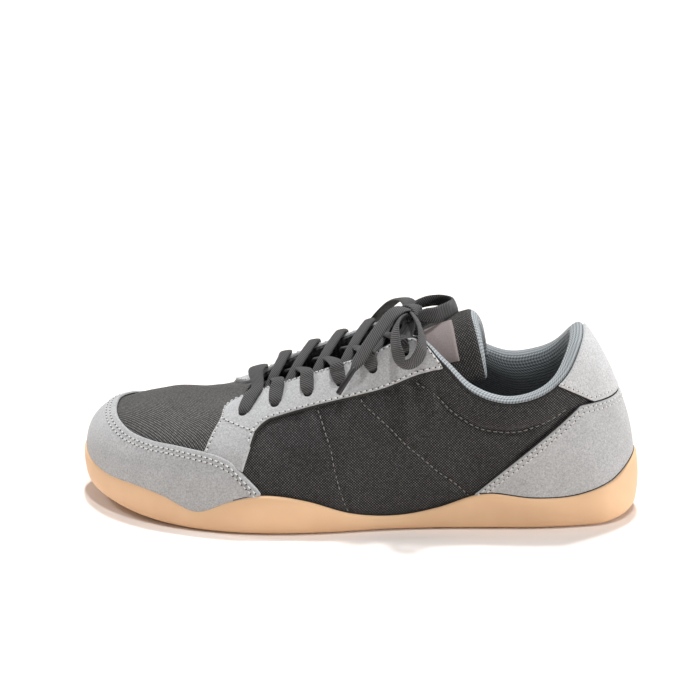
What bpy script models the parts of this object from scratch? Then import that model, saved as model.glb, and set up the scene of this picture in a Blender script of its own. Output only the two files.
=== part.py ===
"""A left barefoot shoe, laced and tied, standing empty on its sole. Metres, +Z up, toe towards -X, lateral side
towards -Y. The origin is on the ground, under the middle of the shoe.

Every curved piece is worked out from one surface, the outside of the upper. Spokes run from the feather line,
where the upper meets the sole, over the last to the topline, which is the collar, the two edges of the throat
and the end of the vamp. A point of that surface has a spoke number, counted round the shoe from the tip of the
toe along the lateral side, and a share of the way up the spoke."""

import math
from collections import namedtuple

import bmesh
import bpy
from mathutils import Vector

# Overall sizes
LENGTH = 0.285
BALL_WIDTH = 0.108
TOP_HEIGHT = 0.098
HALF = BALL_WIDTH / 2

# Sole and insole
FLOOR = 0.0045
SIDEWALL = 0.0032
SHOULDER = 0.0045
TREAD_INSET = 0.0022
LIP_ROUND = 0.0012
LIP_CLEARANCE = 0.0006
CUP_HEIGHT = 0.0335
TOE_SPRING = 0.009
SPRING_START = 0.26
HEEL_BEVEL = 0.003
BEVEL_START = 0.92
INSOLE = 0.003
DISC_RADIUS = 0.0175
DISC_THICKNESS = 0.0012
DISC_ALONG = 0.22
DISC_FROM_MEDIAL = 0.027
POCKET_CUT = 0.006

# Upper, overlays and lining
WALL = 0.0018
OVERLAY = 0.0012
GAP = 0.0003
OVERLAY_GAP = 0.0005
PAD = 0.0085
PAD_DEPTH = 0.030
PAD_RISE = 0.0028
KNIT = 0.0012

# Throat, tongue and laces
EYELET_RADIUS = 0.0025
PUNCH_DEPTH = 0.012
LACE_WIDTH = 0.0072
LACE_THICKNESS = 0.0012
LACE_SLACK = 0.0010
LACE_SINK = 0.0030
CROWN_RISE = 0.0012
BAR_CROWN_RISE = 0.0030
BAR_BOW = 0.0020
TOP_BAR_BACK = 0.0040
AGLET_RADIUS = 0.0015
AGLET_LENGTH = 0.015
LABEL_THICKNESS = 0.0006
TONGUE_EDGE = 0.0010

COLUMNS_PER_SPOKE = 3

# One row for each spoke. Places along are shares of LENGTH from the toe, places across are shares of HALF with
# the medial side positive, heights are shares of TOP_HEIGHT. The spoke leaves the feather line upwards by rise
# and outwards by flare, and comes into the topline from reach outside it and drop below it.
Spoke = namedtuple("Spoke", "along across top_along top_across top rise flare reach drop")
SPOKES = (
    Spoke(0.012, 0.33, 0.300, 0.05, 0.586, 0.388, 0.130, 1.04, 0.041),
    Spoke(0.034, -0.09, 0.300, -0.02, 0.583, 0.378, 0.130, 0.98, 0.041),
    Spoke(0.083, -0.43, 0.301, -0.09, 0.583, 0.357, 0.111, 0.83, 0.051),
    Spoke(0.156, -0.70, 0.306, -0.16, 0.592, 0.337, 0.093, 0.67, 0.061),
    Spoke(0.253, -0.875, 0.328, -0.225, 0.630, 0.327, 0.074, 0.52, 0.082),
    Spoke(0.350, -0.93, 0.370, -0.27, 0.685, 0.337, 0.074, 0.43, 0.102),
    Spoke(0.450, -0.875, 0.440, -0.34, 0.770, 0.367, 0.074, 0.37, 0.122),
    Spoke(0.550, -0.755, 0.520, -0.41, 0.870, 0.388, 0.074, 0.30, 0.153),
    Spoke(0.625, -0.695, 0.602, -0.485, 0.980, 0.408, 0.074, 0.22, 0.204),
    Spoke(0.680, -0.67, 0.655, -0.60, 0.860, 0.357, 0.074, 0.11, 0.224),
    Spoke(0.750, -0.648, 0.705, -0.655, 0.720, 0.286, 0.074, 0.074, 0.204),
    Spoke(0.820, -0.625, 0.765, -0.685, 0.668, 0.255, 0.074, 0.065, 0.194),
    Spoke(0.885, -0.565, 0.825, -0.66, 0.705, 0.276, 0.074, 0.074, 0.204),
    Spoke(0.940, -0.47, 0.868, -0.55, 0.800, 0.316, 0.074, 0.11, 0.224),
    Spoke(0.975, -0.26, 0.893, -0.30, 0.930, 0.367, 0.093, 0.185, 0.214),
    Spoke(0.988, 0.02, 0.897, 0.02, 0.975, 0.388, 0.093, 0.24, 0.194),
    Spoke(0.975, 0.28, 0.889, 0.30, 0.915, 0.367, 0.093, 0.185, 0.214),
    Spoke(0.940, 0.47, 0.862, 0.52, 0.805, 0.316, 0.065, 0.11, 0.224),
    Spoke(0.885, 0.53, 0.820, 0.62, 0.735, 0.286, 0.074, 0.074, 0.204),
    Spoke(0.820, 0.575, 0.765, 0.64, 0.715, 0.286, 0.074, 0.065, 0.204),
    Spoke(0.750, 0.59, 0.700, 0.63, 0.790, 0.306, 0.065, 0.074, 0.204),
    Spoke(0.676, 0.575, 0.645, 0.57, 0.900, 0.367, 0.060, 0.12, 0.224),
    Spoke(0.605, 0.565, 0.600, 0.50, 0.970, 0.429, 0.045, 0.20, 0.204),
    Spoke(0.535, 0.605, 0.530, 0.43, 0.900, 0.449, 0.040, 0.28, 0.153),
    Spoke(0.460, 0.71, 0.455, 0.375, 0.815, 0.429, 0.037, 0.33, 0.122),
    Spoke(0.370, 0.82, 0.385, 0.325, 0.735, 0.408, 0.037, 0.41, 0.102),
    Spoke(0.280, 0.885, 0.335, 0.265, 0.655, 0.388, 0.037, 0.52, 0.082),
    Spoke(0.190, 0.925, 0.310, 0.20, 0.605, 0.388, 0.056, 0.67, 0.071),
    Spoke(0.115, 0.89, 0.303, 0.15, 0.592, 0.388, 0.093, 0.83, 0.051),
    Spoke(0.058, 0.78, 0.301, 0.11, 0.588, 0.388, 0.111, 0.94, 0.041),
    Spoke(0.025, 0.60, 0.300, 0.08, 0.586, 0.388, 0.130, 1.00, 0.041),
)
COUNT = len(SPOKES)
MIRROR_SHIFT = 0.8

# The wave of the sole's top edge, as heights above the ground in shares of CUP_HEIGHT.
Wave = namedtuple("Wave", "along lateral medial")
WAVES = (
    Wave(0.00, 0.74, 0.74),
    Wave(0.06, 0.60, 0.66),
    Wave(0.12, 0.57, 0.60),
    Wave(0.17, 0.49, 0.57),
    Wave(0.23, 0.31, 0.42),
    Wave(0.29, 0.51, 0.40),
    Wave(0.35, 0.62, 0.52),
    Wave(0.42, 0.53, 0.61),
    Wave(0.50, 0.30, 0.58),
    Wave(0.57, 0.235, 0.48),
    Wave(0.64, 0.33, 0.40),
    Wave(0.73, 0.57, 0.48),
    Wave(0.82, 0.50, 0.54),
    Wave(0.89, 0.52, 0.56),
    Wave(0.95, 0.68, 0.69),
    Wave(1.00, 1.00, 1.00),
)

# The eyestay on each side, as a band from the toe cap up to the collar. A row gives where the band's throat
# side and its outer side lie on the upper: the spoke, counted from the toe on that side, and the share up it.
Band = namedtuple("Band", "spoke share outer_spoke outer_share")
EYESTAY = (
    Band(3.72, 0.465, 4.54, 0.355),
    Band(3.70, 0.60, 4.64, 0.48),
    Band(3.60, 0.74, 4.70, 0.60),
    Band(3.20, 0.88, 4.90, 0.672),
    Band(3.20, 0.965, 5.15, 0.69),
    Band(4.10, 0.985, 5.50, 0.703),
    Band(5.00, 0.985, 6.00, 0.712),
    Band(6.00, 0.985, 6.80, 0.715),
    Band(7.00, 0.985, 7.60, 0.720),
    Band(7.75, 0.985, 8.15, 0.765),
    Band(8.40, 0.985, 8.60, 0.865),
    Band(8.80, 0.985, 8.93, 0.950),
)

# The punched eyelets of one side, front to back, in the same two numbers.
EYELETS = (
    (4.19, 0.765),
    (5.01, 0.800),
    (5.74, 0.824),
    (6.40, 0.840),
    (7.07, 0.870),
    (7.74, 0.900),
)

# The toe cap's edge, from the middle back along each side to the sole: the share up each spoke.
Edge = namedtuple("Edge", "along share")
TOE_CAP = (
    Edge(0.0, 0.475),
    Edge(0.6, 0.460),
    Edge(1.2, 0.442),
    Edge(1.9, 0.428),
    Edge(2.6, 0.442),
    Edge(3.1, 0.458),
    Edge(3.7, 0.447),
    Edge(4.1, 0.415),
    Edge(4.5, 0.345),
    Edge(4.8, 0.235),
)
CAP_END = 4.67

# The counter's front edge climbs from the sole to the seam under the heel tab.
COUNTER_FOOT = 0.713
COUNTER_RISE = 0.178
SEAM_HEIGHT = 0.640
TAB_CLEARANCE = 0.012
TAB_FRONT = 0.855
TAB_RUN = 0.060
TAB_FALL = 0.107

# The tongue, front to back: place along, height, half its width as shares, its thickness in metres, and how far
# round each side bends down from the middle, in radians. The first row lies under the end of the vamp.
Fold = namedtuple("Fold", "along height half thickness bend")
TONGUE = (
    Fold(0.272, 0.548, 0.34, 0.0030, 0.80),
    Fold(0.335, 0.562, 0.40, 0.0030, 0.95),
    Fold(0.400, 0.605, 0.45, 0.0032, 1.10),
    Fold(0.470, 0.705, 0.48, 0.0035, 1.25),
    Fold(0.540, 0.825, 0.50, 0.0045, 1.25),
    Fold(0.600, 0.925, 0.46, 0.0065, 1.30),
    Fold(0.650, 0.995, 0.42, 0.0085, 1.50),
    Fold(0.690, 1.035, 0.40, 0.0100, 1.72),
)
TONGUE_LEAN = math.radians(27)
TONGUE_ACROSS = 0.02


def clear_scene():
    for obj in list(bpy.data.objects):
        bpy.data.objects.remove(obj, do_unlink=True)


def new_collection(name):
    group = bpy.data.collections.new(name)
    bpy.context.scene.collection.children.link(group)
    return group


def material(name, colour, roughness, metallic=0.0):
    mat = bpy.data.materials.new(name)
    mat.use_nodes = True
    shader = mat.node_tree.nodes["Principled BSDF"]
    shader.inputs["Base Color"].default_value = (*colour, 1.0)
    shader.inputs["Roughness"].default_value = roughness
    shader.inputs["Metallic"].default_value = metallic
    return mat


def curve_value(a, b, c, d, f):
    """The smooth curve between b and c, at the share f of the way."""
    return 0.5 * (2 * b + (c - a) * f + (2 * a - 5 * b + 4 * c - d) * f**2 + (3 * b - a - 3 * c + d) * f**3)


def smooth_row(rows, place, closed=False):
    """The row of a table at a place between its rows, on smooth curves through them."""
    count = len(rows)
    index = math.floor(place)
    if not closed:
        index = max(0, min(index, count - 2))
    picks = []
    for step in (-1, 0, 1, 2):
        pick = index + step
        picks.append(rows[pick % count] if closed else rows[max(0, min(pick, count - 1))])
    return [curve_value(a, b, c, d, place - index) for a, b, c, d in zip(*picks)]


def table_at(rows, along):
    """The row of a table whose first column is a place along the shoe."""
    index = 0
    while index < len(rows) - 2 and rows[index + 1].along < along:
        index += 1
    low = rows[index]
    high = rows[index + 1]
    share = (along - low.along) / (high.along - low.along)
    return smooth_row(rows, index + max(0.0, min(1.0, share)))


def spoke_at(spoke):
    return Spoke(*smooth_row(SPOKES, spoke % COUNT, closed=True))


def place(along, across, height):
    return Vector(((along - 0.5) * LENGTH, across * HALF, height))


def spring(along):
    return TOE_SPRING * (max(0.0, SPRING_START - along) / SPRING_START) ** 2


def bevel(along):
    return HEEL_BEVEL * (max(0.0, along - BEVEL_START) / (1 - BEVEL_START)) ** 2


def wall_top(spoke):
    """Height of the sole's top edge."""
    row = spoke_at(spoke)
    wave = Wave(*table_at(WAVES, row.along))
    return CUP_HEIGHT * (wave.lateral if spoke % COUNT < COUNT / 2 else wave.medial)


def outward(spoke):
    """The level direction straight out of the feather line."""
    before = spoke_at(spoke - 0.05)
    after = spoke_at(spoke + 0.05)
    step = place(after.along, after.across, 0) - place(before.along, before.across, 0)
    return Vector((step.y, -step.x, 0)).normalized()


def upper_point(spoke, share):
    """A point of the upper's outer surface."""
    row = spoke_at(spoke)
    foot = place(row.along, row.across, FLOOR + GAP + spring(row.along))
    top = place(row.top_along, row.top_across, row.top * TOP_HEIGHT)
    out = outward(spoke)
    back = foot - top
    back.z = 0
    if back.length < 0.004:
        back = out
    low = foot + Vector((0, 0, row.rise * TOP_HEIGHT)) + out * row.flare * HALF
    high = top + back.normalized() * row.reach * HALF - Vector((0, 0, row.drop * TOP_HEIGHT))
    left = 1 - share
    return left**3 * foot + 3 * left**2 * share * low + 3 * left * share**2 * high + share**3 * top


def upper_normal(spoke, share):
    around = upper_point(spoke + 0.04, share) - upper_point(spoke - 0.04, share)
    up = upper_point(spoke, min(1.0, share + 0.01)) - upper_point(spoke, max(0.0, share - 0.01))
    return around.cross(up).normalized()


def off_upper(spoke, share, distance):
    """A point at a distance outside the upper's outer surface."""
    return upper_point(spoke, share) + upper_normal(spoke, share) * distance


def share_where(spoke, test):
    """How far up a spoke a test that holds at its foot first fails."""
    low = 0.0
    while low < 1 and test(upper_point(spoke, min(1.0, low + 0.02))):
        low += 0.02
    high = min(1.0, low + 0.02)
    for _ in range(24):
        middle = (low + high) / 2
        if test(upper_point(spoke, middle)):
            low = middle
        else:
            high = middle
    return low


def share_at_height(spoke, height):
    return share_where(spoke, lambda point: point.z < height)


def columns(first, last):
    """Spoke numbers from first to last, on the columns that all pieces share."""
    start = round(first * COLUMNS_PER_SPOKE)
    stop = round(last * COLUMNS_PER_SPOKE)
    return [index / COLUMNS_PER_SPOKE for index in range(start, stop + 1)]


def all_columns():
    return columns(0, COUNT)[:-1]


def new_object(name, bm, group, mat):
    bmesh.ops.remove_doubles(bm, verts=bm.verts, dist=1e-7)
    bmesh.ops.recalc_face_normals(bm, faces=bm.faces)
    mesh = bpy.data.meshes.new(name)
    bm.to_mesh(mesh)
    bm.free()
    mesh.materials.append(mat)
    obj = bpy.data.objects.new(name, mesh)
    group.objects.link(obj)
    mesh.shade_smooth()
    mesh.set_sharp_from_angle(angle=math.radians(40))
    return obj


def bridge(bm, first, second, closed):
    """Faces between two rows of points."""
    count = len(first)
    for index in range(count if closed else count - 1):
        after = (index + 1) % count
        bm.faces.new((first[index], first[after], second[after], second[index]))


def loft(name, rings, group, mat, tube=False):
    """One body through closed rings. A tube joins the last ring to the first, and otherwise both ends are flat."""
    bm = bmesh.new()
    rows = [[bm.verts.new(point) for point in ring] for ring in rings]
    for first, second in zip(rows, rows[1:]):
        bridge(bm, first, second, closed=True)
    if tube:
        bridge(bm, rows[-1], rows[0], closed=True)
    else:
        bm.faces.new(rows[0][::-1])
        bm.faces.new(rows[-1])
    return new_object(name, bm, group, mat)


def plate(name, outer, inner, group, mat):
    """One body between two equal grids of points."""
    bm = bmesh.new()
    front = [[bm.verts.new(point) for point in row] for row in outer]
    back = [[bm.verts.new(point) for point in row] for row in inner]
    for layer in (front, back):
        for first, second in zip(layer, layer[1:]):
            bridge(bm, first, second, closed=False)
    rim = []
    for layer in (front, back):
        left = [row[0] for row in layer]
        right = [row[-1] for row in layer]
        rim.append(layer[0] + right[1:] + layer[-1][::-1][1:] + left[::-1][1:-1])
    bridge(bm, rim[0], rim[1], closed=True)
    return new_object(name, bm, group, mat)


def overlay(name, grid, thickness, group, mat):
    """A panel that lies on the upper, from a grid of spoke and share."""
    inner = [[off_upper(spoke, share, OVERLAY_GAP) for spoke, share in row] for row in grid]
    outer = [[off_upper(spoke, share, OVERLAY_GAP + thickness) for spoke, share in row] for row in grid]
    return plate(name, outer, inner, group, mat)


def toward_middle(point, share):
    """A point moved level towards the flat middle of the sole."""
    along = point.x / LENGTH + 0.5
    aim = place(max(0.34, min(0.84, along)), 0.04, 0)
    return Vector((point.x + (aim.x - point.x) * share, point.y + (aim.y - point.y) * share, 0))


def ground_height(point):
    along = point.x / LENGTH + 0.5
    return spring(along) + bevel(along)


def level_ring(edge, share, height):
    """A ring inside an edge, which follows the bend of the sole at a height above the ground face."""
    ring = []
    for point in edge:
        moved = toward_middle(point, share)
        moved.z = height + spring(moved.x / LENGTH + 0.5)
        ring.append(moved)
    return ring


def sole_rings():
    """The cup from the middle of its underside, round its side and lip, to the middle of its floor."""
    edge = []
    sides = [[] for _ in range(8)]
    for spoke in all_columns():
        out = outward(spoke)
        foot = upper_point(spoke, 0)
        foot.z = 0
        low = ground_height(foot)
        top = wall_top(spoke)
        shoulder = low + min(SHOULDER, 0.42 * (top - low))
        middle = (shoulder + top) / 2
        edge.append(foot - out * TREAD_INSET + Vector((0, 0, low)))
        sides[0].append(foot + out * SIDEWALL * 0.875 + Vector((0, 0, low + TREAD_INSET)))
        sides[1].append(foot + out * (SIDEWALL + GAP) + Vector((0, 0, shoulder)))
        half_share = share_at_height(spoke, middle)
        lip_share = share_at_height(spoke, top - LIP_ROUND)
        top_share = share_at_height(spoke, top)
        sides[2].append(upper_point(spoke, half_share) + out * (GAP + SIDEWALL * 0.97))
        sides[3].append(upper_point(spoke, lip_share) + out * (GAP + SIDEWALL * 0.78))
        sides[4].append(upper_point(spoke, top_share) + out * (GAP + SIDEWALL / 2))
        sides[5].append(upper_point(spoke, lip_share * 0.96) + out * GAP)
        sides[6].append(upper_point(spoke, lip_share * 0.48) + out * GAP)
        sides[7].append(upper_point(spoke, 0) + out * GAP - Vector((0, 0, GAP)))
    under = []
    for share in (0.60,):
        ring = [toward_middle(point, share) for point in edge]
        under.append([Vector((point.x, point.y, ground_height(point))) for point in ring])
    return under + [edge] + sides + [level_ring(sides[7], 0.80, FLOOR)]


def insole_rings():
    """The insole from the middle of its underside to the middle of its top."""
    low = []
    high = []
    for spoke in all_columns():
        inward = -outward(spoke)
        foot = upper_point(spoke, 0)
        lifted = upper_point(spoke, share_at_height(spoke, foot.z + INSOLE))
        low.append(foot + inward * (WALL + 2 * GAP))
        high.append(lifted + inward * (WALL + 3 * GAP))
    under = level_ring(low, 0.80, FLOOR + GAP)
    over = [level_ring(low, share, FLOOR + GAP + INSOLE) for share in (0.06, 0.80)]
    return [under, low, high] + over


def upper_rings():
    """The outside from the feather line up to the topline, then the inside back down."""
    shares_up = (0.0, 0.10, 0.22, 0.36, 0.50, 0.64, 0.78, 0.90, 1.0)
    shares_down = (1.0, 0.84, 0.66, 0.44, 0.22, 0.0)
    rings = [[upper_point(spoke, share) for spoke in all_columns()] for share in shares_up]
    for share in shares_down:
        rings.append([off_upper(spoke, share, -WALL) for spoke in all_columns()])
    for index, spoke in enumerate(all_columns()):
        rings[-1][index] = upper_point(spoke, 0) - outward(spoke) * WALL
    return rings


def mirror_spoke(spoke):
    """The spoke on the medial side that faces a spoke of the lateral side."""
    return COUNT - MIRROR_SHIFT - spoke


def side_spoke(spoke, lateral):
    return spoke if lateral else mirror_spoke(spoke)


def collar_section(spoke, taper):
    """The padded lining's outline at one spoke: down the inside of the upper, over its edge and back up."""
    top = upper_point(spoke, 1)
    inward = -upper_normal(spoke, 0.995)
    rise = (top - upper_point(spoke, 0.97)).normalized()
    length = sum((upper_point(spoke, k / 10) - upper_point(spoke, (k + 1) / 10)).length for k in range(10))
    depth = WALL + OVERLAY_GAP
    pad = (PAD - depth) * taper
    section = []
    for down in (1.0, 0.55, 0.18):
        share = 1 - down * PAD_DEPTH / length
        section.append(off_upper(spoke, share, -depth))
    section.append(top + inward * depth + rise * GAP)
    section.append(top + inward * GAP + rise * 2 * GAP)
    section.append(top + inward * (4 * GAP + pad * 0.06) + rise * PAD_RISE * 0.80)
    section.append(top + inward * (depth + pad * 0.35) + rise * (2 * GAP + (PAD_RISE - 2 * GAP) * taper))
    section.append(top + inward * (depth + pad * 0.80) + rise * PAD_RISE * 0.30)
    for down, share_of_pad in ((0.18, 1.0), (0.50, 0.80), (1.0, 0.22)):
        share = 1 - down * PAD_DEPTH / length
        section.append(off_upper(spoke, share, -depth - max(KNIT, pad * share_of_pad)))
    return section


def build_collar(group, mat):
    rings = []
    spokes = columns(8.0, 22.33)
    for index, spoke in enumerate(spokes):
        ends = min(index, len(spokes) - 1 - index)
        rings.append(collar_section(spoke, min(1.0, 0.30 + 0.11 * ends)))
    return loft("collar_lining", rings, group, mat)


def cap_share(spoke):
    """Where the toe cap's edge crosses a spoke. Spokes just short of the tip are on the medial side."""
    from_tip = spoke if spoke >= 0 else max(0.0, -MIRROR_SHIFT - spoke)
    return Edge(*table_at(TOE_CAP, from_tip)).share


def build_toe_cap(group, mat):
    rows = [[] for _ in range(4)]
    for spoke in columns(-MIRROR_SHIFT - CAP_END, CAP_END):
        low = share_at_height(spoke, wall_top(spoke) + LIP_CLEARANCE)
        high = cap_share(spoke)
        for index, row in enumerate(rows):
            row.append((spoke, low + (high - low) * index / 3))
    return overlay("toe_cap", rows, OVERLAY, group, mat)


def seam_height(point):
    """The counter's upper edge: it climbs from the sole and levels out under the heel tab."""
    along = point.x / LENGTH + 0.5
    climb = (along - COUNTER_FOOT) / COUNTER_RISE
    return TOP_HEIGHT * (0.19 + (SEAM_HEIGHT - 0.19) * min(1.0, climb))


def build_counter(group, mat):
    rows = [[] for _ in range(4)]
    for spoke in columns(9.67, 20.0):
        low = share_at_height(spoke, wall_top(spoke) + LIP_CLEARANCE)
        high = share_where(spoke, lambda point: point.z < seam_height(point))
        for index, row in enumerate(rows):
            row.append((spoke, low + (high - low) * index / 3))
    return overlay("heel_counter", rows, OVERLAY, group, mat)


def tab_low(point):
    """The tab's lower edge: it falls from the collar to the seam over the counter."""
    along = point.x / LENGTH + 0.5
    fall = TAB_FALL * max(0.0, 1 - max(0.0, along - TAB_FRONT) / TAB_RUN)
    return TOP_HEIGHT * (SEAM_HEIGHT + TAB_CLEARANCE + fall)


def build_heel_tab(group, mat):
    rows = [[] for _ in range(4)]
    for spoke in columns(12.67, 17.33):
        low = share_where(spoke, lambda point: point.z < tab_low(point))
        for index, row in enumerate(rows):
            row.append((spoke, low + (0.995 - low) * index / 3))
    return overlay("heel_tab", rows, OVERLAY, group, mat)


def eyestay_grid(lateral):
    grid = []
    steps = 2 * (len(EYESTAY) - 1)
    for step in range(steps + 1):
        band = Band(*smooth_row(EYESTAY, step / 2))
        row = []
        for index in range(5):
            part = index / 4
            spoke = band.spoke + (band.outer_spoke - band.spoke) * part
            share = min(0.99, band.share) + (band.outer_share - min(0.99, band.share)) * part
            row.append((side_spoke(spoke, lateral), share))
        grid.append(row)
    return grid


def build_eyestay(name, lateral, group, mat):
    return overlay(name, eyestay_grid(lateral), OVERLAY, group, mat)


def eyelet_place(index, lateral):
    spoke, share = EYELETS[index]
    return side_spoke(spoke, lateral), share


def make_eyelet_cutter(index, lateral, helpers):
    spoke, share = eyelet_place(index, lateral)
    normal = upper_normal(spoke, share)
    bm = bmesh.new()
    bmesh.ops.create_cone(bm, cap_ends=True, segments=6, radius1=EYELET_RADIUS, radius2=EYELET_RADIUS, depth=PUNCH_DEPTH)
    mesh = bpy.data.meshes.new("eyelet_punch")
    bm.to_mesh(mesh)
    bm.free()
    cutter = bpy.data.objects.new("eyelet_punch", mesh)
    cutter.location = upper_point(spoke, share)
    cutter.rotation_mode = "QUATERNION"
    cutter.rotation_quaternion = Vector((0, 0, 1)).rotation_difference(normal)
    cutter.hide_render = True
    cutter.display_type = "WIRE"
    helpers.objects.link(cutter)
    return cutter


def boolean(obj, other, operation):
    modifier = obj.modifiers.new(operation.lower(), "BOOLEAN")
    modifier.operation = operation
    modifier.object = other


def tongue_point(fold, across, depth):
    """A point of the tongue: across from -1 at its lateral edge to 1, at a depth under its outer face."""
    half = fold.half * HALF
    angle = across * fold.bend
    radius = half / math.sin(min(fold.bend, math.pi / 2))
    side = math.sin(angle) * (radius - depth)
    fall = radius - math.cos(angle) * (radius - depth)
    centre = place(fold.along, TONGUE_ACROSS, fold.height * TOP_HEIGHT)
    down = Vector((math.sin(TONGUE_LEAN), 0, -math.cos(TONGUE_LEAN)))
    return centre + Vector((0, side, 0)) + down * fall


def tongue_section(fold, puff):
    """A closed outline across the tongue, thinner towards its edges."""
    across = [-1 + 2 * k / 8 for k in range(9)]
    outer = [tongue_point(fold, value, 0) for value in across]
    inner = []
    for value in reversed(across):
        thickness = fold.thickness * puff * (1 - 0.6 * value**4)
        inner.append(tongue_point(fold, value, max(TONGUE_EDGE, thickness)))
    return outer + inner


def build_tongue(group, mat):
    rings = []
    steps = 11
    for step in range(steps + 1):
        fold = Fold(*smooth_row(TONGUE, step * (len(TONGUE) - 1) / steps))
        rings.append(tongue_section(fold, 1.0))
    last = TONGUE[-1]
    lip = last._replace(along=last.along + 0.011, height=last.height - 0.008, half=last.half - 0.03)
    ring = []
    for index, point in enumerate(tongue_section(lip, 1.0)):
        centre = tongue_point(lip, -1 + 2 * (index if index < 9 else 17 - index) / 8, lip.thickness * 0.5)
        ring.append(centre + (point - centre) * 0.55)
    rings.append(ring)
    return loft("tongue", rings, group, mat)


def build_label(group, mat):
    """The bare patch on the tongue's face, below its top edge."""
    layers = []
    for depth in (-GAP - LABEL_THICKNESS, -GAP):
        layer = []
        for row in (5.3, 5.825, 6.35):
            fold = Fold(*smooth_row(TONGUE, row))
            layer.append([tongue_point(fold, -0.76 + 0.12 * k, depth) for k in range(6)])
        layers.append(layer)
    return plate("tongue_label", layers[0], layers[1], group, mat)


def path_points(stops, count):
    """Points on a smooth curve through the stops."""
    rows = [tuple(stop) for stop in stops]
    return [Vector(smooth_row(rows, k * (len(rows) - 1) / (count - 1))) for k in range(count)]


def strap(name, points, normals, width, thickness, group, mat):
    """A flat lace along a path. The normals give the side that its face looks to."""
    rings = []
    last = len(points) - 1
    for index, point in enumerate(points):
        tangent = (points[min(last, index + 1)] - points[max(0, index - 1)]).normalized()
        normal = normals[index] - tangent * normals[index].dot(tangent)
        normal.normalize()
        side = tangent.cross(normal)
        half = side * width / 2
        thick = normal * thickness / 2
        rings.append([point - half - thick, point + half - thick, point + half + thick, point - half + thick])
    return loft(name, rings, group, mat)


def over_edge(spoke, share, lift):
    return off_upper(spoke, share, OVERLAY_GAP + OVERLAY + GAP + LACE_THICKNESS / 2 + lift)


def lace_stops(start, start_lateral, end, lift):
    """Stops and face normals of a strand that comes up inside the throat beside one eyelet, crosses the throat
    and lies over the other edge to the eyelet where it goes in."""
    from_spoke, _ = eyelet_place(start, start_lateral)
    to_spoke, to_share = eyelet_place(end, not start_lateral)
    near = upper_point(from_spoke, 1)
    far = upper_point(to_spoke, 1)
    centre = (near + far) / 2
    inside = near.lerp(far, 0.16)
    inside.z = near.z - LACE_SINK + lift
    crown = centre + Vector((0, 0, CROWN_RISE + lift))
    edge = over_edge(to_spoke, 0.985, LACE_SLACK)
    hole = over_edge(to_spoke, to_share + 0.02, 0.0)
    halfway = over_edge(to_spoke, (to_share + 1.0) / 2, LACE_SLACK * 0.8)
    lean = Vector((0, 0, 1))
    stops = [inside, crown, edge, halfway, hole]
    normals = [
        lean,
        lean,
        (upper_normal(to_spoke, 0.985) + lean).normalized(),
        upper_normal(to_spoke, (to_share + 1.0) / 2),
        upper_normal(to_spoke, to_share),
    ]
    return stops, normals


def front_bar_stops():
    """Stops and face normals of the first strand, straight across the throat and over both of its edges."""
    index = 0
    stops = []
    normals = []
    for lateral in (True, False):
        spoke, share = eyelet_place(index, lateral)
        side = [over_edge(spoke, share + 0.02, 0.0), over_edge(spoke, 0.985, LACE_SLACK * 1.2)]
        faces = [upper_normal(spoke, share), (upper_normal(spoke, 0.985) + Vector((0, 0, 1))).normalized()]
        stops.append(side if lateral else side[::-1])
        normals.append(faces if lateral else faces[::-1])
    crown = (stops[0][1] + stops[1][0]) / 2 + Vector((-BAR_BOW, 0, BAR_CROWN_RISE))
    return stops[0] + [crown] + stops[1], normals[0] + [Vector((0, 0, 1))] + normals[1]


def top_bar_stops():
    """Stops and face normals of the strand from the top eyelets, which comes up inside the throat to the knot."""
    ends = []
    for lateral in (True, False):
        spoke, _ = eyelet_place(len(EYELETS) - 1, lateral)
        ends.append(upper_point(spoke, 1))
    crown = place(KNOT[0], KNOT[1], KNOT[2] * TOP_HEIGHT)
    crown.z -= KNOT_SIZE[2] + GAP + LACE_THICKNESS / 2
    stops = []
    for end, other in (ends, ends[::-1]):
        inside = end.lerp(other, 0.16)
        inside.x += TOP_BAR_BACK
        inside.z = end.z - LACE_SINK
        stops.append(inside)
    up = Vector((0, 0, 1))
    return [stops[0], crown, stops[1]], [up, up, up]


def lace_strap(name, stops, normals, group, mat, count=7):
    return strap(name, path_points(stops, count), path_points(normals, count), LACE_WIDTH, LACE_THICKNESS, group, mat)


def build_crossing(index, group, helpers, mat):
    """Two strands that cross over the throat, joined where they touch."""
    first = lace_strap(f"lace_crossing_{index + 1}", *lace_stops(index, True, index + 1, 0.0), group, mat)
    second = lace_strap("lace_under", *lace_stops(index, False, index + 1, LACE_THICKNESS * 0.4), helpers, mat)
    second.hide_render = True
    second.display_type = "WIRE"
    boolean(first, second, "UNION")
    return first


# The knot and the routes of the two loops and two ends: places along, across and up, in shares as above.
KNOT = (0.594, -0.06, 1.035)
KNOT_SIZE = (0.0080, 0.0068, 0.0050)
LOOP_LATERAL = (
    (0.584, -0.20, 1.030),
    (0.575, -0.36, 1.034),
    (0.571, -0.53, 1.014),
    (0.575, -0.675, 0.944),
    (0.587, -0.73, 0.878),
    (0.606, -0.745, 0.892),
    (0.618, -0.70, 0.950),
    (0.618, -0.56, 1.000),
    (0.610, -0.38, 1.030),
    (0.603, -0.20, 1.038),
)
LOOP_MEDIAL = (
    (0.600, 0.09, 1.050),
    (0.618, 0.16, 1.064),
    (0.642, 0.215, 1.066),
    (0.662, 0.20, 1.060),
    (0.672, 0.12, 1.055),
    (0.664, 0.02, 1.051),
    (0.650, -0.05, 1.042),
    (0.634, -0.10, 1.034),
)
END_LATERAL = (
    (0.580, -0.16, 1.075),
    (0.566, -0.26, 1.065),
    (0.548, -0.37, 1.015),
    (0.531, -0.47, 0.955),
    (0.514, -0.55, 0.885),
    (0.4995, -0.615, 0.822),
)
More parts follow.
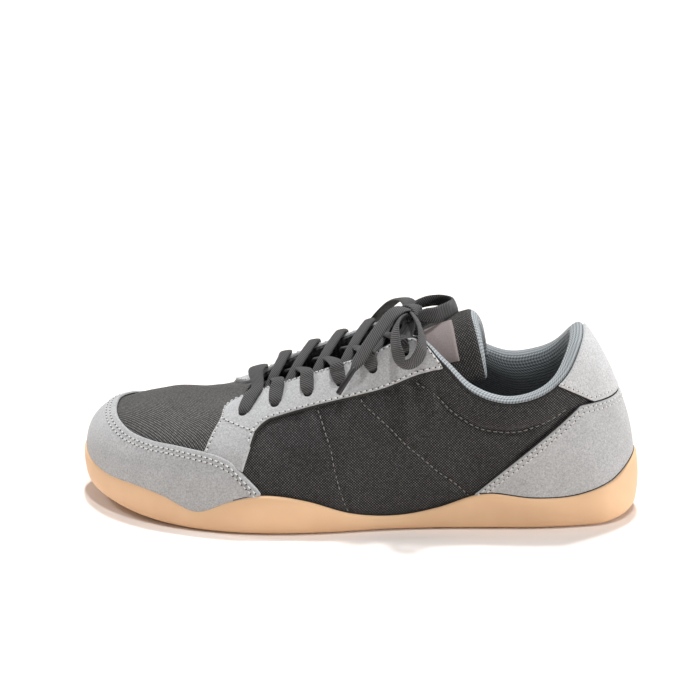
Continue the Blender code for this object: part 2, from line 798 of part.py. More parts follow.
END_MEDIAL = (
    (0.590, 0.10, 1.070),
    (0.578, 0.24, 1.065),
    (0.562, 0.38, 1.030),
    (0.545, 0.50, 0.970),
    (0.528, 0.59, 0.900),
    (0.512, 0.66, 0.835),
)


def route(rows):
    return [place(along, across, height * TOP_HEIGHT) for along, across, height in rows]


def face_away(points, centre):
    """Face normals of a loose strand, looking away from a centre line under it."""
    return [(point - centre).normalized() for point in points]


def build_free_strand(name, rows, group, mat, count):
    points = path_points(route(rows), count)
    core = place(KNOT[0], 0.04, 0.62 * TOP_HEIGHT)
    return strap(name, points, face_away(points, core), LACE_WIDTH, LACE_THICKNESS, group, mat)


def build_loop(name, rows, group, mat):
    points = path_points(route(rows), 13)
    centre = sum(points, Vector()) / len(points)
    normals = [(point - centre).normalized() for point in points]
    return strap(name, points, normals, LACE_WIDTH * 0.8, LACE_THICKNESS, group, mat)


def build_knot(group, mat):
    bm = bmesh.new()
    bmesh.ops.create_uvsphere(bm, u_segments=10, v_segments=6, radius=1.0)
    bmesh.ops.scale(bm, verts=bm.verts, vec=KNOT_SIZE)
    bmesh.ops.translate(bm, verts=bm.verts, vec=place(KNOT[0], KNOT[1], KNOT[2] * TOP_HEIGHT))
    return new_object("lace_knot", bm, group, mat)


def build_aglet(name, rows, group, mat):
    """The hard tip, in line with the end of its lace."""
    points = route(rows)
    aim = (points[-1] - points[-2]).normalized()
    bm = bmesh.new()
    bmesh.ops.create_cone(
        bm, cap_ends=True, segments=8, radius1=AGLET_RADIUS, radius2=AGLET_RADIUS * 0.9, depth=AGLET_LENGTH
    )
    tip = new_object(name, bm, group, mat)
    tip.rotation_mode = "QUATERNION"
    tip.rotation_quaternion = Vector((0, 0, 1)).rotation_difference(aim)
    tip.location = points[-1] + aim * (AGLET_LENGTH / 2 + GAP)
    return tip


def disc_frame():
    """Centre and tilt of the disc in the forefoot, which follows the rise of the toe."""
    edge = max(spoke_at(COUNT - step / 4).across for step in range(8, 24)) * HALF + SIDEWALL
    centre = Vector(((DISC_ALONG - 0.5) * LENGTH, edge - DISC_FROM_MEDIAL, 0))
    reach = DISC_RADIUS / LENGTH
    slope = (spring(DISC_ALONG - reach) - spring(DISC_ALONG + reach)) / (2 * DISC_RADIUS)
    centre.z = (spring(DISC_ALONG - reach) + spring(DISC_ALONG + reach)) / 2
    return centre, math.atan(slope)


def disc_body(name, radius, depth, group, mat):
    """A round plate whose lower face lies along the underside of the forefoot."""
    centre, tilt = disc_frame()
    bm = bmesh.new()
    bmesh.ops.create_cone(bm, cap_ends=True, segments=24, radius1=radius, radius2=radius, depth=depth)
    obj = new_object(name, bm, group, mat)
    obj.rotation_euler = (0, tilt, 0)
    return obj, centre, Vector((math.sin(tilt), 0, math.cos(tilt)))


def build_disc(group, helpers, mat, sole):
    pocket_depth = DISC_THICKNESS + 2 * GAP
    pocket, centre, up = disc_body("disc_pocket", DISC_RADIUS + GAP, POCKET_CUT, helpers, mat)
    pocket.location = centre + up * (pocket_depth - POCKET_CUT / 2)
    pocket.hide_render = True
    pocket.display_type = "WIRE"
    boolean(sole, pocket, "DIFFERENCE")
    disc, centre, up = disc_body("sole_disc", DISC_RADIUS, DISC_THICKNESS, group, mat)
    disc.location = centre + up * (GAP + DISC_THICKNESS / 2)


def main():
    clear_scene()
    group = new_collection("barefoot_shoe")
    helpers = new_collection("cutters")
    rubber = material("sole_rubber", (0.78, 0.52, 0.30), 0.55)
    canvas = material("canvas", (0.075, 0.072, 0.068), 0.9)
    suede = material("suede", (0.46, 0.48, 0.49), 0.85)
    knit = material("lining_knit", (0.40, 0.45, 0.48), 0.9)
    foam = material("insole_cloth", (0.05, 0.05, 0.05), 0.9)
    lace = material("lace", (0.09, 0.088, 0.086), 0.8)
    tip = material("aglet", (0.02, 0.018, 0.02), 0.35)
    patch = material("label", (0.20, 0.17, 0.16), 0.7)
    badge = material("badge", (0.06, 0.055, 0.052), 0.6)

    sole = loft("sole", sole_rings(), group, rubber)
    build_disc(group, helpers, badge, sole)
    loft("insole", insole_rings(), group, foam)
    upper = loft("upper", upper_rings(), group, canvas, tube=True)
    build_toe_cap(group, suede)
    build_counter(group, suede)
    build_heel_tab(group, suede)
    stays = {
        True: build_eyestay("eyestay_lateral", True, group, suede),
        False: build_eyestay("eyestay_medial", False, group, suede),
    }
    for index in range(len(EYELETS)):
        for lateral, stay in stays.items():
            punch = make_eyelet_cutter(index, lateral, helpers)
            boolean(upper, punch, "DIFFERENCE")
            boolean(stay, punch, "DIFFERENCE")
    build_collar(group, knit)
    build_tongue(group, canvas)
    build_label(group, patch)

    lace_strap("lace_bar_front", *front_bar_stops(), group, lace)
    for index in range(len(EYELETS) - 1):
        build_crossing(index, group, helpers, lace)
    lace_strap("lace_bar_top", *top_bar_stops(), group, lace)
    build_knot(group, lace)
    build_loop("lace_loop_lateral", LOOP_LATERAL, group, lace)
    build_loop("lace_loop_medial", LOOP_MEDIAL, group, lace)
    build_free_strand("lace_end_lateral", END_LATERAL, group, lace, 10)
    build_free_strand("lace_end_medial", END_MEDIAL, group, lace, 10)
    build_aglet("aglet_lateral", END_LATERAL, group, tip)
    build_aglet("aglet_medial", END_MEDIAL, group, tip)


main()
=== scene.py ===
"""The looks of a left barefoot shoe, laced and tied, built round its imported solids.

Metres, +Z up, toe towards -X, lateral side towards -Y. All curved pieces come from one surface, the outside
of the upper. A point of it has a spoke number, counted round the shoe from the tip of the toe along the
lateral side, and a share of the way up the spoke from the feather line to the topline. A lift is a distance
outside that surface.
"""

import math

import bmesh
import bpy
import numpy as np
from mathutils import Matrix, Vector

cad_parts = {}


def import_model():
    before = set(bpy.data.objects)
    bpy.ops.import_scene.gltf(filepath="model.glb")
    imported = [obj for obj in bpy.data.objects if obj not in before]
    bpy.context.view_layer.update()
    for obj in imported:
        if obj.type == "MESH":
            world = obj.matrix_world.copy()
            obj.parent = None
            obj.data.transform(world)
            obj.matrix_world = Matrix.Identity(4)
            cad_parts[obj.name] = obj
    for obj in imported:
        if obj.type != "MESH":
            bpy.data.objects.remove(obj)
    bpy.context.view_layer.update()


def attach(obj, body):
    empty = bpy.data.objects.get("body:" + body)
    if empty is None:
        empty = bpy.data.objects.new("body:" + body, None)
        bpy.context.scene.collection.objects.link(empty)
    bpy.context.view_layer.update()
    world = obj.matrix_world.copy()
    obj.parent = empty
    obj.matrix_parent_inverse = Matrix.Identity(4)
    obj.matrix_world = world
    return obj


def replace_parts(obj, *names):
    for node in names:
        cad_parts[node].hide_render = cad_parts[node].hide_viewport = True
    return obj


UP = np.array([0.0, 0.0, 1.0])

# Sizes that the solids have
LENGTH = 0.285
HALF = 0.054
TOP_HEIGHT = 0.098
FLOOR = 0.0045
SIDEWALL = 0.0032
CUP_HEIGHT = 0.0335
TOE_SPRING = 0.009
SPRING_START = 0.26
HEEL_BEVEL = 0.003
BEVEL_START = 0.92
INSOLE = 0.003
GAP = 0.0003
WALL = 0.0018
OVERLAY_TOP = 0.0016
PAD = 0.0085
PAD_DEPTH = 0.030
PAD_RISE = 0.0028
EYELET_RADIUS = 0.0025
DISC_RADIUS = 0.0175
DISC_THICKNESS = 0.0012
DISC_ALONG = 0.22
DISC_FROM_MEDIAL = 0.027

# The sole's section: how far its bottom is drawn in, its rounded foot as outwards and rise, and its lip as
# how far below the top edge and how much thinner
GROUND_LIFT = 0.0001
BOTTOM_INSET = 0.0022
SHOULDER = 0.0045
SHOULDER_SHARE = 0.42
SOLE_FOOT = ((-0.0004, 0.0002), (0.0012, 0.0006), (0.0021, 0.0013), (SIDEWALL - 0.0004, 0.0022))
SOLE_LIP = ((0.0012, 0.0006), (0.0006, 0.0009), (0.0002, 0.0015), (0.0, 0.0021), (0.0003, 0.0027))

# The insole's top, a little lower in the middle: how far in from its edge, as a share, and its rise
INSOLE_DISH = ((0.03, 0.0002), (0.08, 0.0), (0.2, -0.0003), (0.4, -0.0003), (0.6, -0.0002), (0.85, 0.0))

# The canvas: its fineness, where the vamp ends, and its relief. No fold goes deeper than FOLD_LIMIT, so that
# the lining inside never shows through
COLUMNS_PER_SPOKE = 12
VAMP_END = 4.15
FOLD_LIMIT = 0.0010
SEAM_DEPTH = 0.0006
SEAM_WIDTH = 0.0010
SEAM_RIDGE = 0.0004
RIDGE_AWAY = 0.0045
RIDGE_WIDTH = 0.0035
COLLAR_SEAM_DEPTH = 0.0010
COLLAR_SEAM_WIDTH = 0.0018
COLLAR_PUFF = 0.0013
CANVAS_PITCH = 0.00070

# The suede panels: their under face, how far they reach below the sole's top edge, the share of their height
# that the rounded edge starts with, half the length of a punch, and how far the rows of stitches lie from
# the edges. One row crosses the eyestay at a share of its length. A needle hole's place and size are shares
# of its stitch
OVERLAY_BASE = -0.0002
OVERLAY_TUCK = 0.0010
CAP_TOP = 0.0020
EDGE_ROUND = 0.0009
EDGE_SHARE = 0.60
PUFF_RUN = 0.012
PUNCH = 0.006
# JOINT_LIFT: how far out the dark line of painted shade along the sole's joint lies
JOINT_LIFT = 0.0003
CAP_STITCHES = (0.0030, 0.0052)
COUNTER_STITCHES = (0.0016, 0.0040)
EYESTAY_STITCHES = (0.0014, 0.0016)
TAB_STITCHES = 0.0020
CROSS_STITCHES = 0.165
STITCH_PITCH = 0.0030
STITCH_LENGTH = 0.0019
STITCH_RADIUS = 0.00040
HOLE_PLACE = 0.56
HOLE_SIZE = 1.1

# The collar: from which spoke to which its pad and its dark edge run, and the pad's section down the inside
# as share of its depth and share of its thickness
COLLAR_SPOKES = (8.0, 22.33)
EDGE_SPOKES = (8.1, 22.2)
COLLAR_LIP = 0.0006
KNIT = 0.0011
COLLAR_PAD = ((0.07, 0.97), (0.18, 1.03), (0.32, 1.0), (0.50, 0.85), (0.70, 0.58), (0.86, 0.36), (1.0, 0.20))

# The laces: a strand starts under the eyestay, and strands from the two sides cross at two heights, one over
# the other. The hard tip is set out as distance along it and share of its radius
LACE_WIDTH = 0.0078
LACE_THICKNESS = 0.0022
LACE_RIB = 0.0011
LACE_GATHER = 0.66
LACE_UNDER = 0.0042
LACE_START = 0.02
CROWN_LATERAL = 0.0013
CROWN_MEDIAL = -0.0011
AGLET_RADIUS = 0.0015
AGLET_LENGTH = 0.0148
AGLET_OVERLAP = 0.0012
AGLET = (
    # along radius
    (0.0, 0.85),
    (0.0004, 1.0),
    (AGLET_LENGTH, 0.93),
    (AGLET_LENGTH + 0.0004, 0.75),
    (AGLET_LENGTH + 0.0005, 0.3),
)

# The disc's face, from its middle outwards: share of its radius and height
DISC_PROFILE = (
    # radius height
    (0.05, 0.0003),
    (0.70, 0.0003),
    (0.76, 0.0),
    (0.84, 0.0),
    (0.88, 0.0003),
    (0.93, 0.0003),
    (0.96, 0.0),
    (0.99, 0.0001),
    (1.0, 0.0004),
    (1.0, DISC_THICKNESS),
)

# The knot: half its width and height seen along its axis, how far its wrap climbs, the wrap's thickness, and
# half the length, rise and thickness of the strands in its middle
KNOT_WIDE = 0.0040
KNOT_HIGH = 0.0036
KNOT_CLIMB = 0.0016
KNOT_WRAP = 0.0021
CORE_HALF = 0.0058
CORE_RISE = 0.0012
CORE_THICKNESS = 0.0050

# The tread: grooves round five-sided pads on a square net, turned on the ground face
TREAD_CELL = 0.0123
TREAD_TURN = math.radians(-11)
TREAD_BAR = 0.27
TREAD_INSET = 0.0085
TREAD_LINE = 0.0055
GROOVE = 0.0011

# The camera: it looks at the origin, whose place in the picture is given in pixels of its 700
CAMERA_AZIMUTH = 3.2
CAMERA_ELEVATION = 20.0
CAMERA_DISTANCE = 1.3
CAMERA_FOCAL_PIXELS = 2524
PICTURE = 700
ORIGIN_PIXEL = (357, 501)
SENSOR = 36

# The floor, the even light from all round, and the suns with the direction of each from the shoe
FLOOR_SIZE = 14
FLOOR_COLOUR = (0.95, 0.885, 0.845)
WORLD_STRENGTH = 0.27
SUNS = (
    # name toward strength spread_degrees
    ("key", (0.08, -0.20, 1.0), 1.0, 4),
    ("back", (0.00, 0.33, 0.90), 2.4, 6),
    ("left", (-0.75, 0.20, 0.75), 0.6, 8),
    ("right", (0.98, -0.14, 0.22), 1.4, 14),
)

# One row for each spoke. Places along are shares of LENGTH from the toe, places across are shares of HALF
# with the medial side positive, heights are shares of TOP_HEIGHT. The spoke leaves the feather line upwards
# by rise and outwards by flare, and comes into the topline from reach outside it and drop below it.
SPOKES = (
    # along across top_along top_across top rise flare reach drop
    (0.012, 0.33, 0.300, 0.05, 0.586, 0.388, 0.130, 1.04, 0.041),
    (0.034, -0.09, 0.300, -0.02, 0.583, 0.378, 0.130, 0.98, 0.041),
    (0.083, -0.43, 0.301, -0.09, 0.583, 0.357, 0.111, 0.83, 0.051),
    (0.156, -0.70, 0.306, -0.16, 0.592, 0.337, 0.093, 0.67, 0.061),
    (0.253, -0.875, 0.328, -0.225, 0.630, 0.327, 0.074, 0.52, 0.082),
    (0.350, -0.93, 0.370, -0.27, 0.685, 0.337, 0.074, 0.43, 0.102),
    (0.450, -0.875, 0.440, -0.34, 0.770, 0.367, 0.074, 0.37, 0.122),
    (0.550, -0.755, 0.520, -0.41, 0.870, 0.388, 0.074, 0.30, 0.153),
    (0.625, -0.695, 0.602, -0.485, 0.980, 0.408, 0.074, 0.22, 0.204),
    (0.680, -0.67, 0.655, -0.60, 0.860, 0.357, 0.074, 0.11, 0.224),
    (0.750, -0.648, 0.705, -0.655, 0.720, 0.286, 0.074, 0.074, 0.204),
    (0.820, -0.625, 0.765, -0.685, 0.668, 0.255, 0.074, 0.065, 0.194),
    (0.885, -0.565, 0.825, -0.66, 0.705, 0.276, 0.074, 0.074, 0.204),
    (0.940, -0.47, 0.868, -0.55, 0.800, 0.316, 0.074, 0.11, 0.224),
    (0.975, -0.26, 0.893, -0.30, 0.930, 0.367, 0.093, 0.185, 0.214),
    (0.988, 0.02, 0.897, 0.02, 0.975, 0.388, 0.093, 0.24, 0.194),
    (0.975, 0.28, 0.889, 0.30, 0.915, 0.367, 0.093, 0.185, 0.214),
    (0.940, 0.47, 0.862, 0.52, 0.805, 0.316, 0.065, 0.11, 0.224),
    (0.885, 0.53, 0.820, 0.62, 0.735, 0.286, 0.074, 0.074, 0.204),
    (0.820, 0.575, 0.765, 0.64, 0.715, 0.286, 0.074, 0.065, 0.204),
    (0.750, 0.59, 0.700, 0.63, 0.790, 0.306, 0.065, 0.074, 0.204),
    (0.676, 0.575, 0.645, 0.57, 0.900, 0.367, 0.060, 0.12, 0.224),
    (0.605, 0.565, 0.600, 0.50, 0.970, 0.429, 0.045, 0.20, 0.204),
    (0.535, 0.605, 0.530, 0.43, 0.900, 0.449, 0.040, 0.28, 0.153),
    (0.460, 0.71, 0.455, 0.375, 0.815, 0.429, 0.037, 0.33, 0.122),
    (0.370, 0.82, 0.385, 0.325, 0.735, 0.408, 0.037, 0.41, 0.102),
    (0.280, 0.885, 0.335, 0.265, 0.655, 0.388, 0.037, 0.52, 0.082),
    (0.190, 0.925, 0.310, 0.20, 0.605, 0.388, 0.056, 0.67, 0.071),
    (0.115, 0.89, 0.303, 0.15, 0.592, 0.388, 0.093, 0.83, 0.051),
    (0.058, 0.78, 0.301, 0.11, 0.588, 0.388, 0.111, 0.94, 0.041),
    (0.025, 0.60, 0.300, 0.08, 0.586, 0.388, 0.130, 1.00, 0.041),
)
COUNT = len(SPOKES)
MIRROR_SHIFT = 0.8

# The wave of the sole's top edge: place along, then its height on each side in shares of CUP_HEIGHT
WAVES = (
    # along lateral medial
    (0.00, 0.74, 0.74),
    (0.06, 0.60, 0.66),
    (0.12, 0.57, 0.60),
    (0.17, 0.49, 0.57),
    (0.23, 0.31, 0.42),
    (0.29, 0.51, 0.40),
    (0.35, 0.62, 0.52),
    (0.42, 0.53, 0.61),
    (0.50, 0.30, 0.58),
    (0.57, 0.235, 0.48),
    (0.64, 0.33, 0.40),
    (0.73, 0.57, 0.48),
    (0.82, 0.50, 0.54),
    (0.89, 0.52, 0.56),
    (0.95, 0.68, 0.69),
    (1.00, 1.00, 1.00),
)

# The eyestay of a side, front to back: its throat side and its outer side, as spoke and share each
EYESTAY = (
    # spoke share outer_spoke outer_share
    (3.73, 0.433, 4.56, 0.316),
    (3.70, 0.60, 4.64, 0.48),
    (3.60, 0.74, 4.70, 0.60),
    (3.20, 0.88, 4.90, 0.672),
    (3.20, 0.965, 5.15, 0.69),
    (4.10, 0.99, 5.50, 0.703),
    (5.00, 0.99, 6.00, 0.712),
    (6.00, 0.99, 6.80, 0.715),
    (7.00, 0.99, 7.60, 0.720),
    (7.75, 0.99, 8.15, 0.765),
    (8.40, 0.99, 8.62, 0.865),
    (8.85, 0.99, 8.98, 0.960),
)

# The punched eyelets of a side, front to back: spoke and share
EYELETS = ((4.19, 0.765), (5.01, 0.800), (5.74, 0.824), (6.40, 0.840), (7.07, 0.870), (7.74, 0.900))

# The toe cap's edge, from the middle back along each side to the sole: spoke and share
TOE_CAP = (
    (0.0, 0.475),
    (0.6, 0.460),
    (1.2, 0.442),
    (1.9, 0.428),
    (2.6, 0.442),
    (3.1, 0.458),
    (3.7, 0.447),
    (4.1, 0.415),
    (4.5, 0.345),
    (4.8, 0.235),
    (5.1, 0.120),
)
CAP_END = 4.92
COUNTER_SPOKES = (9.50, 20.2)
TAB_SPOKES = (12.62, 17.38)

# The counter's front edge climbs from the sole to the seam under the heel tab
COUNTER_FOOT = 0.713
COUNTER_RISE = 0.178
COUNTER_LOW = 0.19
SEAM_HEIGHT = 0.640
TAB_CLEARANCE = 0.006
TAB_FRONT = 0.855
TAB_RUN = 0.060
TAB_FALL = 0.107

# Seams sewn into the canvas of a side, as spoke and share, from the top down
QUARTER_SEAM_FRONT = (
    (5.90, 0.690),
    (5.95, 0.647),
    (6.05, 0.515),
    (6.14, 0.397),
    (6.19, 0.290),
    (6.30, 0.144),
    (6.42, 0.05),
)
QUARTER_SEAM_BACK = (
    (6.72, 0.70),
    (6.80, 0.630),
    (7.21, 0.475),
    (7.62, 0.347),
    (8.25, 0.248),
    (8.92, 0.201),
    (9.33, 0.139),
    (9.7, 0.06),
)
COLLAR_SEAM = (
    (7.86, 0.700),
    (8.12, 0.671),
    (8.65, 0.667),
    (9.22, 0.658),
    (9.91, 0.684),
    (10.53, 0.721),
    (11.11, 0.745),
    (11.68, 0.773),
    (12.30, 0.794),
    (12.66, 0.798),
)

# Soft troughs and ridges of the canvas: where each starts and ends, as spoke and share, then its width and
# its height in metres
CREASES = (
    # spoke share to_spoke to_share width height
    (13.45, 0.690, 12.10, 0.690, 0.0042, -0.0013),
    (12.80, 0.745, 10.40, 0.370, 0.0050, -0.0012),
    (12.40, 0.735, 10.90, 0.500, 0.0038, -0.0014),
    (12.80, 0.830, 11.60, 0.745, 0.0045, 0.0009),
    (7.28, 0.690, 7.34, 0.42, 0.0050, -0.0014),
    (7.55, 0.700, 7.62, 0.45, 0.0050, 0.0014),
    (7.86, 0.715, 8.02, 0.50, 0.0050, -0.0014),
    (8.20, 0.745, 8.42, 0.56, 0.0050, 0.0014),
    (6.05, 0.700, 6.02, 0.48, 0.0055, -0.0012),
    (6.45, 0.705, 6.48, 0.46, 0.0060, 0.0006),
    (5.55, 0.690, 5.40, 0.52, 0.0060, -0.0006),
    (4.95, 0.560, 5.60, 0.30, 0.0080, -0.0006),
    (8.50, 0.560, 9.60, 0.36, 0.0110, -0.0008),
    (9.60, 0.560, 10.80, 0.30, 0.0120, 0.0006),
    (1.60, 0.800, 3.00, 0.62, 0.0110, -0.0006),
    (0.00, 0.700, 2.20, 0.600, 0.0120, 0.0005),
)

# The tongue, front to back: place along, height, half its width, its thickness in metres, and how far round
# each side bends down from the middle, in radians
TONGUE = (
    # along height half thickness bend
    (0.272, 0.548, 0.34, 0.0030, 0.80),
    (0.335, 0.562, 0.40, 0.0030, 0.95),
    (0.400, 0.605, 0.45, 0.0032, 1.10),
    (0.470, 0.705, 0.48, 0.0035, 1.25),
    (0.540, 0.825, 0.50, 0.0045, 1.25),
    (0.600, 0.925, 0.46, 0.0065, 1.30),
    (0.650, 0.995, 0.42, 0.0085, 1.50),
    (0.690, 1.035, 0.40, 0.0100, 1.72),
)
TONGUE_LEAN = math.radians(27)
TONGUE_ACROSS = 0.02
TONGUE_CORNER = 0.6
TONGUE_CURL = 0.28
TONGUE_THIN = 0.0012
TONGUE_RIM = 0.0007
TONGUE_BULGE = 0.0004

# The label on the tongue: between which rows of it and how far across, and its height over it
LABEL_ROWS = (5.3, 6.35)
LABEL_ACROSS = (-0.76, -0.16)
LABEL_LIFT = 0.0004
LABEL_THICKNESS = 0.0008

# The knot, and the routes of the two loops and the two ends out of it: along, across and up, in shares
KNOT = (0.594, -0.06, 1.035)
LOOP_LATERAL = (
    (0.590, -0.07, 1.030),
    (0.584, -0.20, 1.030),
    (0.575, -0.36, 1.034),
    (0.571, -0.53, 1.014),
    (0.575, -0.675, 0.944),
    (0.587, -0.73, 0.878),
    (0.606, -0.745, 0.892),
    (0.618, -0.70, 0.950),
    (0.618, -0.56, 1.000),
    (0.610, -0.38, 1.030),
    (0.603, -0.20, 1.038),
    (0.597, -0.07, 1.036),
)
LOOP_MEDIAL = (
    (0.594, -0.04, 1.036),
    (0.600, 0.09, 1.050),
    (0.618, 0.16, 1.064),
    (0.642, 0.215, 1.066),
    (0.662, 0.20, 1.060),
    (0.672, 0.12, 1.055),
    (0.664, 0.02, 1.051),
    (0.650, -0.05, 1.042),
    (0.634, -0.10, 1.034),
    (0.600, -0.10, 1.026),
)
END_LATERAL = (
    (0.594, -0.05, 1.048),
    (0.580, -0.16, 1.075),
    (0.566, -0.26, 1.065),
    (0.548, -0.37, 1.015),
    (0.531, -0.47, 0.955),
    (0.514, -0.55, 0.885),
    (0.4995, -0.615, 0.822),
)
END_MEDIAL = (
    (0.594, -0.03, 1.045),
    (0.590, 0.10, 1.070),
    (0.578, 0.24, 1.065),
    (0.562, 0.38, 1.030),
    (0.545, 0.50, 0.970),
    (0.528, 0.59, 0.900),
    (0.512, 0.66, 0.835),
)


# Curves and the upper's surface


def smooth(rows, at, closed=False):
    """Rows of a table at places between them, on smooth curves through them."""
    table = np.asarray(rows, float)
    at = np.asarray(at, float)
    count = len(table)
    index = np.floor(at).astype(int)
    if not closed:
        index = np.clip(index, 0, count - 2)
    part = (at - index)[..., None]
    picks = []
    for step in (-1, 0, 1, 2):
        pick = index + step
        picks.append(table[pick % count if closed else np.clip(pick, 0, count - 1)])
    a, b, c, d = picks
    bend = 2 * a - 5 * b + 4 * c - d
    twist = 3 * b - a - 3 * c + d
    return 0.5 * (2 * b + (c - a) * part + bend * part**2 + twist * part**3)


def row_place(rows, along):
    """Which row of a table, counted with fractions, has this first column."""
    first = [row[0] for row in rows]
    return np.interp(along, first, range(len(first)))


def walked(points):
    """The distance gone at each point of a line."""
    return np.concatenate([[0], np.cumsum(np.linalg.norm(np.diff(points[:, :3], axis=0), axis=1))])


def resample(points, count):
    """Points at equal steps along a smooth curve through the given ones."""
    fine = smooth(points, np.linspace(0, len(points) - 1, 24 * len(points)))
    gone = walked(fine)
    wanted = np.linspace(0, gone[-1], count)
    return np.stack([np.interp(wanted, gone, values) for values in fine.T], axis=1)


def unit(vectors):
    return vectors / np.maximum(np.linalg.norm(vectors, axis=-1, keepdims=True), 1e-12)


def to_space(along, across, height):
    places = np.broadcast_arrays((along - 0.5) * LENGTH, across * HALF, height)
    return np.stack(places, axis=-1).astype(float)


def shares_to_space(rows):
    along, across, height = np.transpose(rows)
    return to_space(along, across, height * TOP_HEIGHT)


def place_along(points):
    """How far along the shoe points lie, as a share of its length from the toe."""
    return points[..., 0] / LENGTH + 0.5


def spring(along):
    return TOE_SPRING * (np.maximum(0.0, SPRING_START - along) / SPRING_START) ** 2


def bevel(along):
    return HEEL_BEVEL * (np.maximum(0.0, along - BEVEL_START) / (1 - BEVEL_START)) ** 2


def evenly(per_spoke, first=0, last=COUNT):
    """Spoke numbers at even steps, round the whole shoe or from one spoke to another."""
    return np.arange(first * per_spoke, last * per_spoke) / per_spoke


def side_spoke(spoke, lateral):
    """A spoke of the lateral side, or the medial one across from it."""
    spoke = np.asarray(spoke, float)
    return spoke if lateral else COUNT - MIRROR_SHIFT - spoke


def from_toe(spoke):
    """How many spokes from the toe on the nearer side."""
    return np.minimum(spoke, side_spoke(spoke, False))


def spokes_at(spoke):
    return np.moveaxis(smooth(SPOKES, np.mod(spoke, COUNT), closed=True), -1, 0)


def outward(spoke):
    """The level direction straight out of the feather line."""
    before = spokes_at(np.asarray(spoke) - 0.05)
    after = spokes_at(np.asarray(spoke) + 0.05)
    step = to_space(after[0], after[1], 0.0) - to_space(before[0], before[1], 0.0)
    return unit(np.stack([step[..., 1], -step[..., 0], np.zeros_like(step[..., 0])], axis=-1))


def surface(spoke, share):
    """Points of the upper's outer surface."""
    spoke, share = np.broadcast_arrays(np.asarray(spoke, float), np.asarray(share, float))
    along, across, top_along, top_across, top, rise, flare, reach, drop = spokes_at(spoke)
    foot = to_space(along, across, FLOOR + GAP + spring(along))
    head = to_space(top_along, top_across, top * TOP_HEIGHT)
    out = outward(spoke)
    back = foot - head
    back[..., 2] = 0
    size = np.linalg.norm(back, axis=-1, keepdims=True)
    back = np.where(size < 0.004, out, back / np.maximum(size, 1e-9))
    low = foot + UP * (rise * TOP_HEIGHT)[..., None] + out * (flare * HALF)[..., None]
    high = head + back * (reach * HALF)[..., None] - UP * (drop * TOP_HEIGHT)[..., None]
    share = share[..., None]
    left = 1 - share
    return left**3 * foot + 3 * left**2 * share * low + 3 * left * share**2 * high + share**3 * head


def normals(spoke, share):
    around = surface(spoke + 0.04, share) - surface(spoke - 0.04, share)
    up = surface(spoke, np.minimum(1.0, share + 0.01)) - surface(spoke, np.maximum(0.0, share - 0.01))
    return unit(np.cross(around, up))


def lifted(spoke, share, lift):
    """Points outside the upper's surface, at a lift each."""
    spoke, share, lift = np.broadcast_arrays(spoke, share, lift)
    return surface(spoke, share) + normals(spoke, share) * lift[..., None]


def share_where(spoke, height_of):
    """How far up each spoke the surface reaches the height that a function gives for its point."""
    high = np.ones_like(spoke)
    steps = np.linspace(0, 1, 60)
    for step in steps[::-1]:
        point = surface(spoke, step)
        high = np.where(point[..., 2] >= height_of(point), step, high)
    low = np.maximum(0.0, high - steps[1])
    for _ in range(20):
        middle = (low + high) / 2
        point = surface(spoke, middle)
        under = point[..., 2] < height_of(point)
        low = np.where(under, middle, low)
        high = np.where(under, high, middle)
    return low


def wall_top(spoke):
    """Height of the sole's top edge."""
    wave = smooth(WAVES, row_place(WAVES, spokes_at(spoke)[0]))
    lateral = np.mod(spoke, COUNT) < COUNT / 2
    return CUP_HEIGHT * np.where(lateral, wave[..., 1], wave[..., 2])


# The canvas's relief


def bell(away, width):
    """A bell curve, 1 in the middle."""
    return np.exp(-((away / width) ** 2))


def distance_to_path(points, path):
    """The distance of each point to a line through the path's points."""
    best = np.full(points.shape[:-1], 1.0)
    for start, end in zip(path[:-1], path[1:]):
        span = end - start
        part = np.clip(((points - start) @ span) / max(1e-12, span @ span), 0, 1)
        best = np.minimum(best, np.linalg.norm(points - start - part[..., None] * span, axis=-1))
    return best


def seam_line(rows, lateral, count):
    """Spokes and shares along a seam of one side."""
    fine = smooth(rows, np.linspace(0, len(rows) - 1, count))
    return side_spoke(fine[:, 0], lateral), fine[:, 1]


def bump_along(points, start, end, width, height):
    """A soft ridge or trough between two points, which fades out at both ends."""
    span = end - start
    part = ((points - start) @ span) / (span @ span)
    near = np.clip(part, 0, 1)
    away = np.linalg.norm(points - start - near[..., None] * span, axis=-1)
    beyond = np.linalg.norm(span) * np.abs(part - near)
    fade = bell(beyond, 0.6 * width) * (0.35 + 0.65 * np.sin(np.pi * (0.15 + 0.7 * near)))
    return height * bell(away, 0.5 * width) * fade


def relief(spoke, share):
    """How far the canvas stands out of the plain surface: seams, the padded collar and creases."""
    points = surface(spoke, share)
    total = np.zeros(points.shape[:-1])
    for lateral in (True, False):
        for rows in (QUARTER_SEAM_FRONT, QUARTER_SEAM_BACK):
            away = distance_to_path(points, surface(*seam_line(rows, lateral, 24)))
            total -= SEAM_DEPTH * bell(away, SEAM_WIDTH)
            total += SEAM_RIDGE * bell(away - RIDGE_AWAY, RIDGE_WIDTH)
        away = distance_to_path(points, surface(*seam_line(COLLAR_SEAM, lateral, 24)))
        total -= COLLAR_SEAM_DEPTH * bell(away, COLLAR_SEAM_WIDTH)
        total += puff(spoke, share, away, lateral)
        for spoke_a, share_a, spoke_b, share_b, width, height in CREASES:
            start = surface(side_spoke(spoke_a, lateral), share_a)
            end = surface(side_spoke(spoke_b, lateral), share_b)
            total += bump_along(points, start, end, width, height)
    return np.maximum(total, -FOLD_LIMIT)


